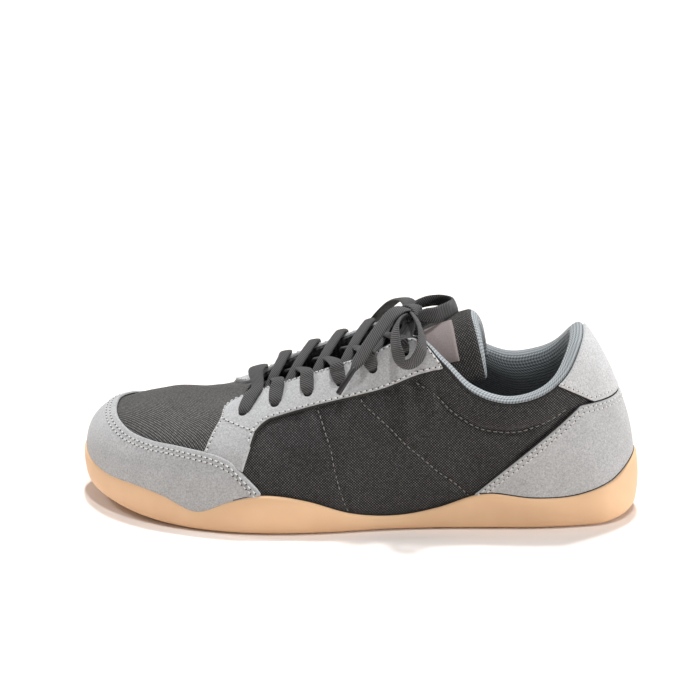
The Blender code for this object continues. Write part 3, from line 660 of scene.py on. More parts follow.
def puff(spoke, share, away, lateral):
    """The padded collar's bulge between its seam and the topline."""
    seam_spokes, seam_shares = np.transpose(COLLAR_SEAM)
    own = np.mod(side_spoke(spoke, lateral), COUNT)
    seam = np.interp(own, seam_spokes, seam_shares)
    inside = np.clip((own - seam_spokes[0]) / 0.8, 0, 1) * np.clip((seam_spokes[-1] + 0.2 - own) / 0.8, 0, 1)
    above = np.clip((share - seam) / 0.05, 0, 1) * np.clip(away / 0.006, 0, 1)
    return COLLAR_PUFF * inside * above * np.clip((1.0 - share) / 0.08, 0, 1)


# Meshes


def new_object(name, verts, faces):
    """A mesh object with its faces outwards."""
    mesh = bpy.data.meshes.new(name)
    points = [tuple(point) for point in np.asarray(verts, float)]
    mesh.from_pydata(points, [], [tuple(int(i) for i in face) for face in faces])
    bm = bmesh.new()
    bm.from_mesh(mesh)
    bmesh.ops.recalc_face_normals(bm, faces=bm.faces)
    bm.to_mesh(mesh)
    bm.free()
    obj = bpy.data.objects.new(name, mesh)
    bpy.context.scene.collection.objects.link(obj)
    return obj


def make_object(name, verts, faces, mats, slot, uvs=None, face_mats=None, sharp=50):
    """One piece on the frame's only body, from points, faces and a flat place for each point."""
    obj = new_object(name, verts, faces)
    mesh = obj.data
    for mat in mats:
        mesh.materials.append(mat)
    if face_mats is not None:
        mesh.polygons.foreach_set("material_index", np.asarray(face_mats, np.int32))
    if uvs is not None:
        layer = mesh.uv_layers.new(name="flat")
        index = np.empty(len(mesh.loops), np.int32)
        mesh.loops.foreach_get("vertex_index", index)
        layer.data.foreach_set("uv", np.asarray(uvs, np.float32)[index].ravel())
    mesh.update()
    mesh.shade_smooth()
    mesh.set_sharp_from_angle(angle=math.radians(sharp))
    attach(obj, "root")
    return obj


def grid_faces(rows, cols, closed=False, start=0):
    """Four-sided faces between the rows of a grid of points."""
    faces = []
    for row in range(rows - 1):
        for col in range(cols if closed else cols - 1):
            after = (col + 1) % cols
            a = start + row * cols
            b = a + cols
            faces.append((a + col, a + after, b + after, b + col))
    return faces


def tube_faces(rows, cols):
    """Faces of a tube through rings of points, with both ends closed."""
    last = (rows - 1) * cols
    ends = [tuple(range(cols - 1, -1, -1)), tuple(range(last, last + cols))]
    return grid_faces(rows, cols, closed=True) + ends


def border(rows, cols):
    """The numbers of a grid's outermost points, in order."""
    ring = [(0, col) for col in range(cols)] + [(row, cols - 1) for row in range(1, rows)]
    ring += [(rows - 1, col) for col in range(cols - 2, -1, -1)]
    ring += [(row, 0) for row in range(rows - 2, 0, -1)]
    return [row * cols + col for row, col in ring]


def grid_steps(points):
    """Distances along the rows and down the columns of a grid, between each point and the next."""
    across = np.linalg.norm(np.diff(points, axis=1), axis=-1)
    down = np.linalg.norm(np.diff(points, axis=0), axis=-1)
    return across, down


def climbed(down):
    """The distance gone down each column of a grid, from its steps."""
    return np.concatenate([np.zeros((1, down.shape[1])), np.cumsum(down, axis=0)])


def flat_places(points):
    """Places of a grid laid flat, for a weave that keeps its scale."""
    across, down = grid_steps(points)
    u = np.concatenate([[0], np.cumsum(across.mean(axis=0))])
    v = climbed(down)
    return np.stack([np.broadcast_to(u, v.shape), v], axis=-1).reshape(-1, 2)


def panel_places(on_vamp, points):
    """Flat places of the upper: the vamp as seen from above, and each side as seen from beside it."""
    v = np.where(on_vamp, points[..., 1], climbed(grid_steps(points)[1]))
    return np.stack([points[..., 0], v], axis=-1).reshape(-1, 2)


def edge_rounding(points, size):
    """How far the rounded edge of a grid has risen at each point, from 0 on its border to 1."""
    across, down = grid_steps(points)
    from_left = climbed(across.T).T
    from_top = climbed(down)
    edge = np.minimum.reduce([from_left, from_left[:, -1:] - from_left, from_top, from_top[-1:] - from_top])
    return edge, np.sqrt(1 - (1 - np.clip(edge / size, 0, 1)) ** 2)


def slab(name, outer, inner, plain, mat, slot, sharp):
    """A thin closed piece between two grids of points, joined round their borders."""
    rows, cols = outer.shape[:2]
    count = rows * cols
    verts = np.concatenate([outer.reshape(-1, 3), inner.reshape(-1, 3)])
    faces = grid_faces(rows, cols) + grid_faces(rows, cols, start=count)
    ring = border(rows, cols)
    for first, second in zip(ring, ring[1:] + ring[:1]):
        faces.append((first, second, second + count, first + count))
    return make_object(name, verts, faces, [mat], slot, np.tile(flat_places(plain), (2, 1)), sharp=sharp)


def panel_object(name, spoke, share, mat, node, top=OVERLAY_TOP, puffed=0.0):
    """A panel that lies on the upper, with rounded edges, from grids of spoke and share."""
    plain = surface(spoke, share)
    edge, rounded = edge_rounding(plain, EDGE_ROUND)
    swell = puffed * np.clip(edge / PUFF_RUN, 0, 1)
    height = OVERLAY_BASE + (top - OVERLAY_BASE) * (EDGE_SHARE + (1 - EDGE_SHARE) * rounded) + swell
    outer = lifted(spoke, share, height)
    inner = lifted(spoke, share, OVERLAY_BASE)
    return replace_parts(slab(name, outer, inner, plain, mat, "suede", 70), node)


def spread(count, fine=(0.0, 0.006, 0.016, 0.032)):
    """Shares from 0 to 1 that lie closer near both ends."""
    middle = np.linspace(0.055, 0.945, count)
    return np.concatenate([fine, middle, [1 - value for value in reversed(fine)]])


def rings_object(name, rings, mats, slot, tube=False, face_mats=None, sharp=50, uv=None):
    """A body through rings of points, closed at both ends, or from its last ring back to its first."""
    rings = np.asarray(rings, float)
    rows, cols, _ = rings.shape
    if uv is None:
        loop = np.concatenate([rings, rings[:, :1]], axis=1)
        uv = flat_places(loop).reshape(rows, cols + 1, 2)[:, :cols].reshape(-1, 2)
    if tube:
        faces = grid_faces(rows, cols, closed=True)
        last = (rows - 1) * cols
        for col in range(cols):
            after = (col + 1) % cols
            faces.append((last + col, last + after, after, col))
    else:
        faces = tube_faces(rows, cols)
    return make_object(name, rings.reshape(-1, 3), faces, mats, slot, uv, face_mats, sharp)


def joined(parts):
    """Points and faces of many small bodies as one."""
    verts = []
    faces = []
    start = 0
    for points, own in parts:
        verts.append(points)
        faces += [tuple(i + start for i in face) for face in own]
        start += len(points)
    return np.concatenate(verts), faces


def circle(side, other, count):
    """Directions round a circle, from two that lie across each other."""
    turns = np.linspace(0, 2 * np.pi, count, endpoint=False)[:, None]
    return np.cos(turns) * side + np.sin(turns) * other


# Materials


def new_material(name, colour, roughness, sheen=(0.0, 0.5)):
    mat = bpy.data.materials.new(name)
    mat.use_nodes = True
    shader = mat.node_tree.nodes["Principled BSDF"]
    shader.inputs["Base Color"].default_value = (*colour, 1)
    shader.inputs["Roughness"].default_value = roughness
    shader.inputs["Sheen Weight"].default_value = sheen[0]
    shader.inputs["Sheen Roughness"].default_value = sheen[1]
    return mat, mat.node_tree, shader


def math_node(tree, operation, *values):
    node = tree.nodes.new("ShaderNodeMath")
    node.operation = operation
    for socket, value in zip(node.inputs, values):
        if isinstance(value, (int, float)):
            socket.default_value = value
        else:
            tree.links.new(value, socket)
    return node.outputs[0]


def flat_map(tree):
    """Places on the piece's own flat map."""
    node = tree.nodes.new("ShaderNodeUVMap")
    node.uv_map = "flat"
    return node.outputs["UV"]


def split_places(tree, where):
    node = tree.nodes.new("ShaderNodeSeparateXYZ")
    tree.links.new(where, node.inputs["Vector"])
    return node.outputs["X"], node.outputs["Y"]


def noise(tree, size, detail=3.0, roughness=0.55):
    """Noise in space whose grain has about this size in metres."""
    node = tree.nodes.new("ShaderNodeTexNoise")
    node.inputs["Scale"].default_value = 1 / size
    node.inputs["Detail"].default_value = detail
    node.inputs["Roughness"].default_value = roughness
    tree.links.new(tree.nodes.new("ShaderNodeTexCoord").outputs["Object"], node.inputs["Vector"])
    return node.outputs["Fac"]


def ramp(tree, value, *stops):
    """Colours or greys at places along a value from 0 to 1."""
    node = tree.nodes.new("ShaderNodeValToRGB")
    elements = node.color_ramp.elements
    elements[0].position = stops[0][0]
    elements[1].position = stops[-1][0]
    for position, _ in stops[1:-1]:
        elements.new(position)
    for element, (_, colour) in zip(elements, stops):
        element.color = (*colour, 1) if isinstance(colour, tuple) else (colour, colour, colour, 1)
    tree.links.new(value, node.inputs["Fac"])
    return node.outputs["Color"]


def scaled(colour, factor):
    return tuple(factor * part for part in colour)


def multiply(tree, first, second):
    """Two colours multiplied."""
    node = tree.nodes.new("ShaderNodeMix")
    node.data_type = "RGBA"
    node.blend_type = "MULTIPLY"
    factor, first_colour, second_colour = node.inputs[0], node.inputs[6], node.inputs[7]
    factor.default_value = 1.0
    tree.links.new(first, first_colour)
    tree.links.new(second, second_colour)
    return node.outputs[2]


def dress(tree, shader, colour, height, strength, distance):
    """A colour and a bump on a shader."""
    node = tree.nodes.new("ShaderNodeBump")
    node.inputs["Strength"].default_value = strength
    node.inputs["Distance"].default_value = distance
    tree.links.new(height, node.inputs["Height"])
    tree.links.new(node.outputs["Normal"], shader.inputs["Normal"])
    tree.links.new(colour, shader.inputs["Base Color"])


def weave_height(tree, pitch, turn=0.0):
    """A plain weave: raised crossings like the light squares of a chessboard, each with a round top."""
    mapping = tree.nodes.new("ShaderNodeMapping")
    mapping.inputs["Rotation"].default_value = (0, 0, turn)
    tree.links.new(flat_map(tree), mapping.inputs["Vector"])
    waves = []
    for place in split_places(tree, mapping.outputs["Vector"]):
        waves.append(math_node(tree, "SINE", math_node(tree, "MULTIPLY", place, math.pi / pitch)))
    return math_node(tree, "MULTIPLY_ADD", math_node(tree, "MULTIPLY", *waves), 0.5, 0.5)


def canvas_material(name, dark, light, speck):
    """Coarse woven canvas: pale thread tops over dark gaps, with some threads paler than others."""
    mat, tree, shader = new_material(name, light, 0.95, (0.10, 0.5))
    weave = weave_height(tree, CANVAS_PITCH)
    threads = ramp(tree, weave, (0.36, dark), (0.60, light), (0.90, scaled(light, 3.3)))
    fleck = ramp(tree, noise(tree, 0.0012, 2.0), (0.36, 0.60), (0.52, 1.0), (0.68, speck))
    broad = ramp(tree, noise(tree, 0.03, 2.0), (0.3, 0.90), (0.7, 1.10))
    dress(tree, shader, multiply(tree, multiply(tree, threads, fleck), broad), weave, 0.7, 0.0003)
    return mat


def suede_material(name, tone):
    """Light grey suede: a fine nap with broad soft clouds."""
    mat, tree, shader = new_material(name, (tone, tone, tone), 0.95, (0.12, 0.6))
    nap = noise(tree, 0.0008, 4.0, 0.72)
    stops = ((0.32, (0.68, 0.69, 0.70)), (0.50, (1.0, 1.01, 1.025)), (0.68, (1.28, 1.29, 1.30)))
    grain = ramp(tree, nap, *((position, scaled(colour, tone)) for position, colour in stops))
    broad = ramp(tree, noise(tree, 0.010), (0.3, 0.95), (0.7, 1.04))
    dress(tree, shader, multiply(tree, grain, broad), nap, 0.25, 0.0003)
    return mat


def rubber_material():
    mat, tree, shader = new_material("sole_rubber", (0.80, 0.515, 0.304), 0.55)
    cloud = ramp(tree, noise(tree, 0.02, 2.0), (0.3, (0.80, 0.51, 0.295)), (0.7, (0.86, 0.565, 0.335)))
    dress(tree, shader, cloud, noise(tree, 0.0007, 2.0), 0.12, 0.0002)
    return mat


def knit_material(name, light, dark, pitch):
    mat, tree, shader = new_material(name, light, 0.9, (0.3, 0.5))
    weave = weave_height(tree, pitch, math.radians(45))
    dress(tree, shader, ramp(tree, weave, (0.1, dark), (0.8, light)), weave, 0.6, 0.0004)
    return mat


def lace_material():
    """A flat braid with fine slanted ribs."""
    mat, tree, shader = new_material("lace", (0.15, 0.147, 0.148), 0.85, (0.15, 0.5))
    across, along = split_places(tree, flat_map(tree))
    slanted = math_node(tree, "ADD", along, math_node(tree, "MULTIPLY", across, 0.6))
    ribs = math_node(tree, "SINE", math_node(tree, "MULTIPLY", slanted, 2 * math.pi / LACE_RIB))
    height = math_node(tree, "MULTIPLY_ADD", ribs, 0.5, 0.5)
    colour = ramp(tree, height, (0.05, 0.024), (0.45, (0.058, 0.057, 0.058)), (1.0, (0.12, 0.118, 0.119)))
    dress(tree, shader, colour, height, 0.8, 0.0004)
    return mat


def plain_material(name, colour, roughness, grain=0.0004, strength=0.1):
    mat, tree, shader = new_material(name, colour, roughness)
    value = noise(tree, grain)
    lighter = tuple(min(1.0, 1.12 * part) for part in colour)
    shade = ramp(tree, value, (0.3, scaled(colour, 0.85)), (0.7, lighter))
    dress(tree, shader, shade, value, strength, 0.0002)
    return mat


# Sole and insole


def ground_height(points):
    along = place_along(points)
    return spring(along) + bevel(along)


def floor_height(points):
    """Height of the cup's inside."""
    return FLOOR + spring(place_along(points))


def toward_middle(points, share, height_of, lift=0.0):
    """Points moved level towards the middle line by a share, at a lift over a function's height there."""
    aim = to_space(np.clip(place_along(points), 0.34, 0.84), 0.04, 0.0)
    moved = points + (aim - points) * share
    moved[:, 2] = height_of(moved) + lift
    return moved


def build_sole(mat):
    spoke = evenly(COLUMNS_PER_SPOKE)
    out = outward(spoke)
    foot = surface(spoke, 0.0)
    inner = foot + out * GAP - UP * GAP
    foot[:, 2] = 0
    low = ground_height(foot)
    top = wall_top(spoke)
    shoulder = low + np.minimum(SHOULDER, SHOULDER_SHARE * (top - low))
    below_lip = top - SOLE_LIP[0][0] - shoulder

    def beside(outwards, height):
        return foot + out * outwards + UP * height[:, None]

    def wall(height, outwards):
        share = share_where(spoke, lambda point: height)
        return surface(spoke, share) + out * outwards

    edge = beside(-BOTTOM_INSET, low + GROUND_LIFT)
    shares = (0.96, 0.80, 0.60, 0.40, 0.20, 0.08)
    rings = [toward_middle(edge, share, ground_height, GROUND_LIFT) for share in shares]
    rings.append(edge)
    rings += [beside(outwards, low + rise) for outwards, rise in SOLE_FOOT]
    rings.append(beside(SIDEWALL + 0.0001, 0.5 * low + 0.5 * shoulder + 0.0011))
    rings.append(beside(SIDEWALL + GAP, shoulder))
    for part, thin in ((0.25, 0.0), (0.5, 0.0001), (0.75, 0.0003)):
        rings.append(wall(shoulder + below_lip * part, GAP + SIDEWALL - thin))
    rings += [wall(top - below, GAP + SIDEWALL - thin) for below, thin in SOLE_LIP]
    rings += [wall(np.maximum(top - below, FLOOR + 0.001), GAP) for below in (0.0015, 0.004)]
    rings.append(inner)
    rings += [toward_middle(inner, share, floor_height) for share in (0.4, 0.85)]
    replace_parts(rings_object("cup_sole", rings, [mat], "sole_rubber", sharp=60), "sole")


def build_insole(mat):
    spoke = evenly(6)
    out = outward(spoke)
    foot = surface(spoke, 0.0)
    low = foot - out * (WALL + 2 * GAP)
    share = share_where(spoke, lambda point: foot[:, 2] + INSOLE)
    rings = [toward_middle(low, inset, floor_height, GAP) for inset in (0.85, 0.4)]
    rings += [low, surface(spoke, share) - out * (WALL + 3 * GAP)]
    rings += [toward_middle(low, inset, floor_height, GAP + INSOLE + rise) for inset, rise in INSOLE_DISH]
    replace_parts(rings_object("footbed", rings, [mat], "insole_cloth"), "insole")


# Upper and overlays


def build_upper(vamp, canvas, lining):
    spoke = evenly(COLUMNS_PER_SPOKE)
    up_shares = np.concatenate([np.linspace(0, 0.97, 98), [0.985, 0.995]])
    rings = [lifted(spoke, share, relief(spoke, share)) for share in up_shares]
    rings += [lifted(spoke, 1.0, -depth) for depth in (0.0004, 0.0014)]
    rings += [lifted(spoke, share, -WALL) for share in np.linspace(0.99, 0, 24)[:-1]]
    rings.append(surface(spoke, 0.0) - outward(spoke) * WALL)
    on_vamp = from_toe(spoke) < VAMP_END
    outside = np.tile(np.where(on_vamp, 0, 1), len(up_shares))
    inside = np.full((len(rings) - len(up_shares)) * len(spoke), 2)
    obj = rings_object(
        "canvas_upper",
        rings,
        [vamp, canvas, lining],
        "canvas",
        tube=True,
        face_mats=np.concatenate([outside, inside]),
        uv=panel_places(on_vamp, np.array(rings)),
    )
    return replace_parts(obj, "upper")


def overlay_grid(spoke, low, high, rows):
    """Spokes and shares of an overlay between its lower and its upper edge."""
    return np.tile(spoke, (len(rows), 1)), low + (high - low) * rows[:, None]


def end_columns(first, last, count):
    """Spokes from the first to the last, closer near both ends."""
    return first + (last - first) * spread(count, (0.0, 0.001, 0.003, 0.007))


def low_share(spoke):
    """Just below the sole's top edge, where an overlay is tucked in."""
    return share_where(spoke, lambda point: wall_top(spoke) - OVERLAY_TUCK)


def toe_cap_grid():
    spoke = end_columns(-MIRROR_SHIFT - CAP_END, CAP_END, 150)
    own = np.where(spoke >= 0, spoke, np.maximum(0.0, -MIRROR_SHIFT - spoke))
    low = low_share(spoke)
    high = smooth(TOE_CAP, row_place(TOE_CAP, own))[..., 1]
    return overlay_grid(spoke, low, np.maximum(high, low + 0.01), spread(26))


def seam_height(point):
    climb = (place_along(point) - COUNTER_FOOT) / COUNTER_RISE
    return TOP_HEIGHT * (COUNTER_LOW + (SEAM_HEIGHT - COUNTER_LOW) * np.minimum(1.0, climb))


def counter_grid():
    spoke = end_columns(*COUNTER_SPOKES, 130)
    low = low_share(spoke)
    return overlay_grid(spoke, low, np.maximum(share_where(spoke, seam_height), low + 0.004), spread(22))


def tab_low(point):
    fall = TAB_FALL * np.maximum(0.0, 1 - np.maximum(0.0, place_along(point) - TAB_FRONT) / TAB_RUN)
    return TOP_HEIGHT * (SEAM_HEIGHT + TAB_CLEARANCE + fall)


def heel_tab_grid():
    spoke = end_columns(*TAB_SPOKES, 70)
    return overlay_grid(spoke, share_where(spoke, tab_low), 0.998, spread(18))


def eyestay_grid(lateral):
    along = spread(90, (0.0, 0.002, 0.005, 0.010)) * (len(EYESTAY) - 1)
    band = smooth(EYESTAY, along)
    part = spread(16)
    spoke = band[:, :1] + (band[:, 2:3] - band[:, :1]) * part
    high = np.minimum(0.995, band[:, 1:2])
    share = high + (band[:, 3:4] - high) * part
    return side_spoke(spoke.T, lateral), share.T


def eyelet(index, lateral, lift, up_share=0.0):
    """A point at an eyelet, at a lift and moved towards the throat by a share."""
    spoke, share = EYELETS[index]
    return lifted(side_spoke(spoke, lateral), share + up_share, lift)


def eyelet_normal(index, lateral):
    spoke, share = EYELETS[index]
    return normals(side_spoke(spoke, lateral), np.array(share))


def punches():
    """Cylinders where the eyelets are, in one object."""
    parts = []
    for lateral in (True, False):
        for index in range(len(EYELETS)):
            axis = eyelet_normal(index, lateral)
            side = unit(np.cross(axis, UP))
            ring = eyelet(index, lateral, 0.0) + EYELET_RADIUS * circle(side, np.cross(axis, side), 20)
            parts.append((np.concatenate([ring - axis * PUNCH, ring + axis * PUNCH]), tube_faces(2, 20)))
    return new_object("punches", *joined(parts))


def punch(obj, cutter):
    """Cuts the eyelets and keeps the result as the object's own mesh."""
    modifier = obj.modifiers.new("eyelets", "BOOLEAN")
    modifier.operation = "DIFFERENCE"
    modifier.object = cutter
    modifier.solver = "EXACT"
    bpy.context.view_layer.update()
    graph = bpy.context.evaluated_depsgraph_get()
    mesh = bpy.data.meshes.new_from_object(obj.evaluated_get(graph))
    obj.modifiers.remove(modifier)
    obj.data = mesh


# Stitches and edges


def stitch_body(centre, along, up, length, radius):
    """A short thread that bows out of the cloth."""
    side = np.cross(along, up)
    rings = []
    for part in (-1.0, -0.72, 0.0, 0.72, 1.0):
        size = radius * (0.35 if abs(part) == 1.0 else 1.0)
        middle = centre + along * (part * length / 2) + up * radius * (0.75 - 1.5 * part**2)
        rings.append(middle + size * circle(side, up, 6))
    return np.concatenate(rings), tube_faces(5, 6)


def hole_body(centre, along, up, radius):
    """A needle hole: a low dot on the cloth, whose dark colour is painted shade for the hole."""
    ring = centre + radius * circle(np.cross(along, up), along, 7) + up * 0.00006
    faces = [(k, (k + 1) % 7, 7) for k in range(7)] + [tuple(range(6, -1, -1))]
    return np.concatenate([ring, [centre + up * 0.00010]]), faces


def stitch_row(spokes, shares, lift, length=STITCH_LENGTH, radius=STITCH_RADIUS):
    """Stitches and needle holes along a line of the upper."""
    steps = walked(surface(spokes, shares))
    count = max(2, int(steps[-1] / STITCH_PITCH))
    middle = (np.arange(count) + 0.5) * steps[-1] / count
    spoke = np.interp(middle, steps, spokes)
    share = np.interp(middle, steps, shares)
    points = lifted(spoke, share, lift)
    ups = normals(spoke, share)
    after = middle + 0.0008
    ahead = lifted(np.interp(after, steps, spokes), np.interp(after, steps, shares), lift)
    threads = []
    holes = []
    for point, up, next_point in zip(points, ups, ahead):
        along = unit(next_point - point)
        along = unit(along - up * (along @ up))
        threads.append(stitch_body(point, along, up, length, radius))
        holes.append(hole_body(point + along * length * HOLE_PLACE, along, up, radius * HOLE_SIZE))
    return threads, holes


def inset_line(spoke, share, row, other, distance):
    """A line of a panel's grid moved in from its edge row towards another row, by a distance."""
    width = np.linalg.norm(surface(spoke[row], share[row]) - surface(spoke[other], share[other]), axis=-1)
    part = distance / np.maximum(width, 1e-6)
    return tuple(grid[row] + (grid[other] - grid[row]) * part for grid in (spoke, share))


def build_stitches(pale, dark, hole):
    pale_threads = []
    dark_threads = []
    holes = []

    def sew(line, lift, threads, **sizes):
        made, pricked = stitch_row(*line, lift, **sizes)
        threads.extend(made)
        holes.extend(pricked)

    def sew_edge(grid, row, distance, first, last, lift=OVERLAY_TOP):
        """A row of stitches a distance in from a panel's first or last row, between two shares of it."""
        line = inset_line(*grid, row, -1 - row, distance)
        count = len(line[0])
        sew([values[int(first * count) : int(last * count)] for values in line], lift, pale_threads)

    for distance in CAP_STITCHES:
        sew_edge(toe_cap_grid(), -1, distance, 0.015, 0.985, CAP_TOP)
    for lateral in (True, False):
        spoke, share = eyestay_grid(lateral)
        sew_edge((spoke, share), 0, EYESTAY_STITCHES[0], 0.04, 0.99)
        sew_edge((spoke, share), -1, EYESTAY_STITCHES[1], 0.10, 0.99)
        cross = int(CROSS_STITCHES * spoke.shape[1])
        sew((spoke[:, cross], share[:, cross]), OVERLAY_TOP, pale_threads, length=0.0024, radius=0.00042)
    for distance in COUNTER_STITCHES:
        sew_edge(counter_grid(), -1, distance, 0.02, 0.98)
    sew_edge(heel_tab_grid(), 0, TAB_STITCHES, 0.03, 0.97)
    for lateral in (True, False):
        for rows in (QUARTER_SEAM_FRONT, QUARTER_SEAM_BACK, COLLAR_SEAM):
            sew(seam_line(rows, lateral, 60), -0.0003, dark_threads, length=0.0021, radius=0.0003)
    make_object("stitches_on_suede", *joined(pale_threads), [pale], "suede")
    make_object("stitches_on_canvas", *joined(dark_threads), [dark], "canvas")
    # the needle holes are dark dots of painted shade
    make_object("needle_holes_painted_shade", *joined(holes), [hole], "canvas")


def line_body(spokes, shares, lift, radius, closed=False):
    """A thin round line that follows the upper's surface."""
    line = lifted(spokes, shares, lift)
    tangent = np.roll(line, -1, axis=0) - np.roll(line, 1, axis=0) if closed else np.gradient(line, axis=0)
    normal = normals(spokes, np.minimum(shares, 0.99))
    side = unit(np.cross(unit(tangent), normal))
    rings = line[:, None] + radius * circle(side[:, None], normal[:, None], 6)
    if closed:
        rings = np.concatenate([rings, rings[:1]])
        faces = grid_faces(len(rings), 6, closed=True)
    else:
        faces = tube_faces(len(rings), 6)
    return rings.reshape(-1, 3), faces


def build_cut_edges_and_painted_shade(mat):
    """The dark cut edges of the suede, partly painted shade along the panels' edges, and a line of painted
    shade in the joint at the sole's lip.
    """
    parts = []
    # dark cords along the panels' edges: the suede's cut edges, partly painted shade where the edges cast
    # shade
    for grid, row, lift, radius in (
        (toe_cap_grid(), -1, 0.0006, 0.0003),
        (counter_grid(), -1, 0.0006, 0.0005),
        (heel_tab_grid(), 0, 0.0007, 0.0004),
    ):
        parts.append(line_body(grid[0][row], grid[1][row], lift, radius))
    for lateral in (True, False):
        spoke, share = eyestay_grid(lateral)
        parts.append(line_body(spoke[-1, 8:], share[-1, 8:], 0.0007, 0.0008))
    # the dark line along the sole's lip is painted shade in the joint between sole and upper
    spoke = evenly(8)
    share = share_where(spoke, lambda point: wall_top(spoke) + JOINT_LIFT)
    covered = from_toe(spoke) < CAP_END
    covered |= (spoke > COUNTER_SPOKES[0]) & (spoke < COUNTER_SPOKES[1])
    parts.append(line_body(spoke, share, np.where(covered, OVERLAY_TOP, JOINT_LIFT), 0.0003, closed=True))
    make_object("cut_edges_and_painted_shade", *joined(parts), [mat], "canvas")


# Collar and tongue


def collar_ring(spoke, taper):
    """The padded lining's outline at each spoke: over the edge of the upper and down its inside."""
    top = surface(spoke, 1.0)
    inward = -normals(spoke, np.full_like(spoke, 0.995))
    rise = unit(top - surface(spoke, 0.97))
    spine = surface(spoke[:, None], np.linspace(0, 1, 11))
    length = grid_steps(spine)[0].sum(axis=1)
    depth = WALL + GAP
    pad = (PAD - depth) * taper
    height = COLLAR_LIP + (PAD_RISE - COLLAR_LIP) * taper

    def lip(inwards, up):
        inwards, up, _ = np.broadcast_arrays(inwards, up, spoke)
        return top + inward * inwards[:, None] + rise * up[:, None]

    def inside(down, thickness):
        return lifted(spoke, 1 - down * PAD_DEPTH / length, -depth - thickness)

    points = [inside(down, 0.0) for down in (1.0, 0.5, 0.15)]
    points += [lip(depth, 0.0004), lip(0.0004, 0.0002)]
    for inwards, share in ((0.0, 0.35), (0.0007, 0.72), (0.0018, 0.93)):
        points.append(lip(inwards, share * height))
    for part, share in ((0.28, 1.0), (0.55, 0.85), (0.82, 0.35)):
        points.append(lip(depth + pad * part, share * height))
    points += [inside(down, np.maximum(KNIT, pad * share)) for down, share in COLLAR_PAD]
    return np.stack(points, axis=1)


def build_collar(mat):
    spokes = evenly(COLUMNS_PER_SPOKE, *COLLAR_SPOKES)
    ends = np.minimum(spokes - spokes[0], spokes[-1] - spokes)
    taper = np.clip(0.30 + 0.33 * ends, 0, 1)
    obj = rings_object("knit_collar", collar_ring(spokes, taper), [mat], "lining_knit")
    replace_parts(obj, "collar_lining")


def build_collar_edge(mat):
    """The thin dark edge between the canvas and the knit."""
    spokes = evenly(COLUMNS_PER_SPOKE, *EDGE_SPOKES)
    verts, faces = line_body(spokes, np.full_like(spokes, 0.992), 0.0002, 0.0004)
    make_object("collar_edge", verts, faces, [mat], "canvas")


def tongue_places(row, across, depth):
    """Points of the tongue: across from -1 at its lateral edge to 1, at a depth under its outer face."""
    corner = np.clip((np.abs(across) - 0.30) / 0.70, 0, 1) ** 1.5 * np.clip((row - 4.5) / 2.5, 0, 1)
    along, height, half, _, bend = np.moveaxis(smooth(TONGUE, row - TONGUE_CORNER * corner), -1, 0)
    radius = half * HALF / np.sin(np.minimum(bend, math.pi / 2))
    angle = across * bend * (1 + TONGUE_CURL * np.clip((row - 3.5) / 2, 0, 1) * across**2)
    side = np.sin(angle) * (radius - depth)
    fall = radius - np.cos(angle) * (radius - depth)
    centre = to_space(along, np.full_like(along, TONGUE_ACROSS), height * TOP_HEIGHT)
    down = np.array([math.sin(TONGUE_LEAN), 0, -math.cos(TONGUE_LEAN)])
    return centre + side[..., None] * np.array([0.0, 1.0, 0.0]) + fall[..., None] * down


def build_tongue(canvas, lining):
    """A padded tongue with a rolled edge, whose pale lining bulges over its top."""
    rows = np.concatenate([np.linspace(0, 6.6, 80), np.linspace(6.63, 7.0, 12)])
    count = 41
    across = np.sin(np.linspace(-1, 1, count) * np.pi / 2)
    rings = []
    for row in rows:
        thickness = smooth(TONGUE, row)[3]
        bulge = np.clip((row - 5.2) / 1.2, 0, 1)
        depth = np.maximum(TONGUE_THIN, thickness * (1 - 0.45 * across**6) * (1 + 0.10 * bulge))
        rim = TONGUE_RIM * bulge * bell(np.abs(across) - 0.93, 0.05)
        places = np.full_like(across, row)
        outer = tongue_places(places, across, -TONGUE_BULGE * bulge * (1 - across**2) - rim)
        inner = tongue_places(places, across[::-1], depth[::-1])
        rings.append(np.concatenate([outer, inner]))
    thickness = TONGUE[-1][3]
    direction = np.array([math.cos(TONGUE_LEAN), 0, math.sin(TONGUE_LEAN)])
    base = rings[-1]
    middle = (base[:count] + base[count:][::-1]) / 2
    middle = np.concatenate([middle, middle[::-1]])
    for part in (0.35, 0.65, 0.88, 1.0):
        swell = math.sqrt(1 - part**2) if part < 1 else 0.05
        rings.append(middle + (base - middle) * swell + direction * thickness * 0.42 * part)
    cols = len(base)
    face_mats = []
    for ring in range(len(rings) - 1):
        for col in range(cols):
            outside = (col < count or col == cols - 1) and ring <= len(rows)
            face_mats.append(0 if outside or ring < 30 else 1)
    face_mats += [0, 1]
    obj = rings_object("padded_tongue", rings, [canvas, lining], "canvas", face_mats=face_mats)
    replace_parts(obj, "tongue")


def build_label(mat):
    rows, across = np.meshgrid(np.linspace(*LABEL_ROWS, 22), np.linspace(*LABEL_ACROSS, 22), indexing="ij")
    plain = tongue_places(rows, across, -LABEL_LIFT)
    rounded = edge_rounding(plain, 0.0006)[1]
    outer = tongue_places(rows, across, -LABEL_LIFT - LABEL_THICKNESS * rounded)
    inner = tongue_places(rows, across, 0.0003)
    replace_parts(slab("bare_label", outer, inner, plain, mat, "label", 50), "tongue_label")


# Laces


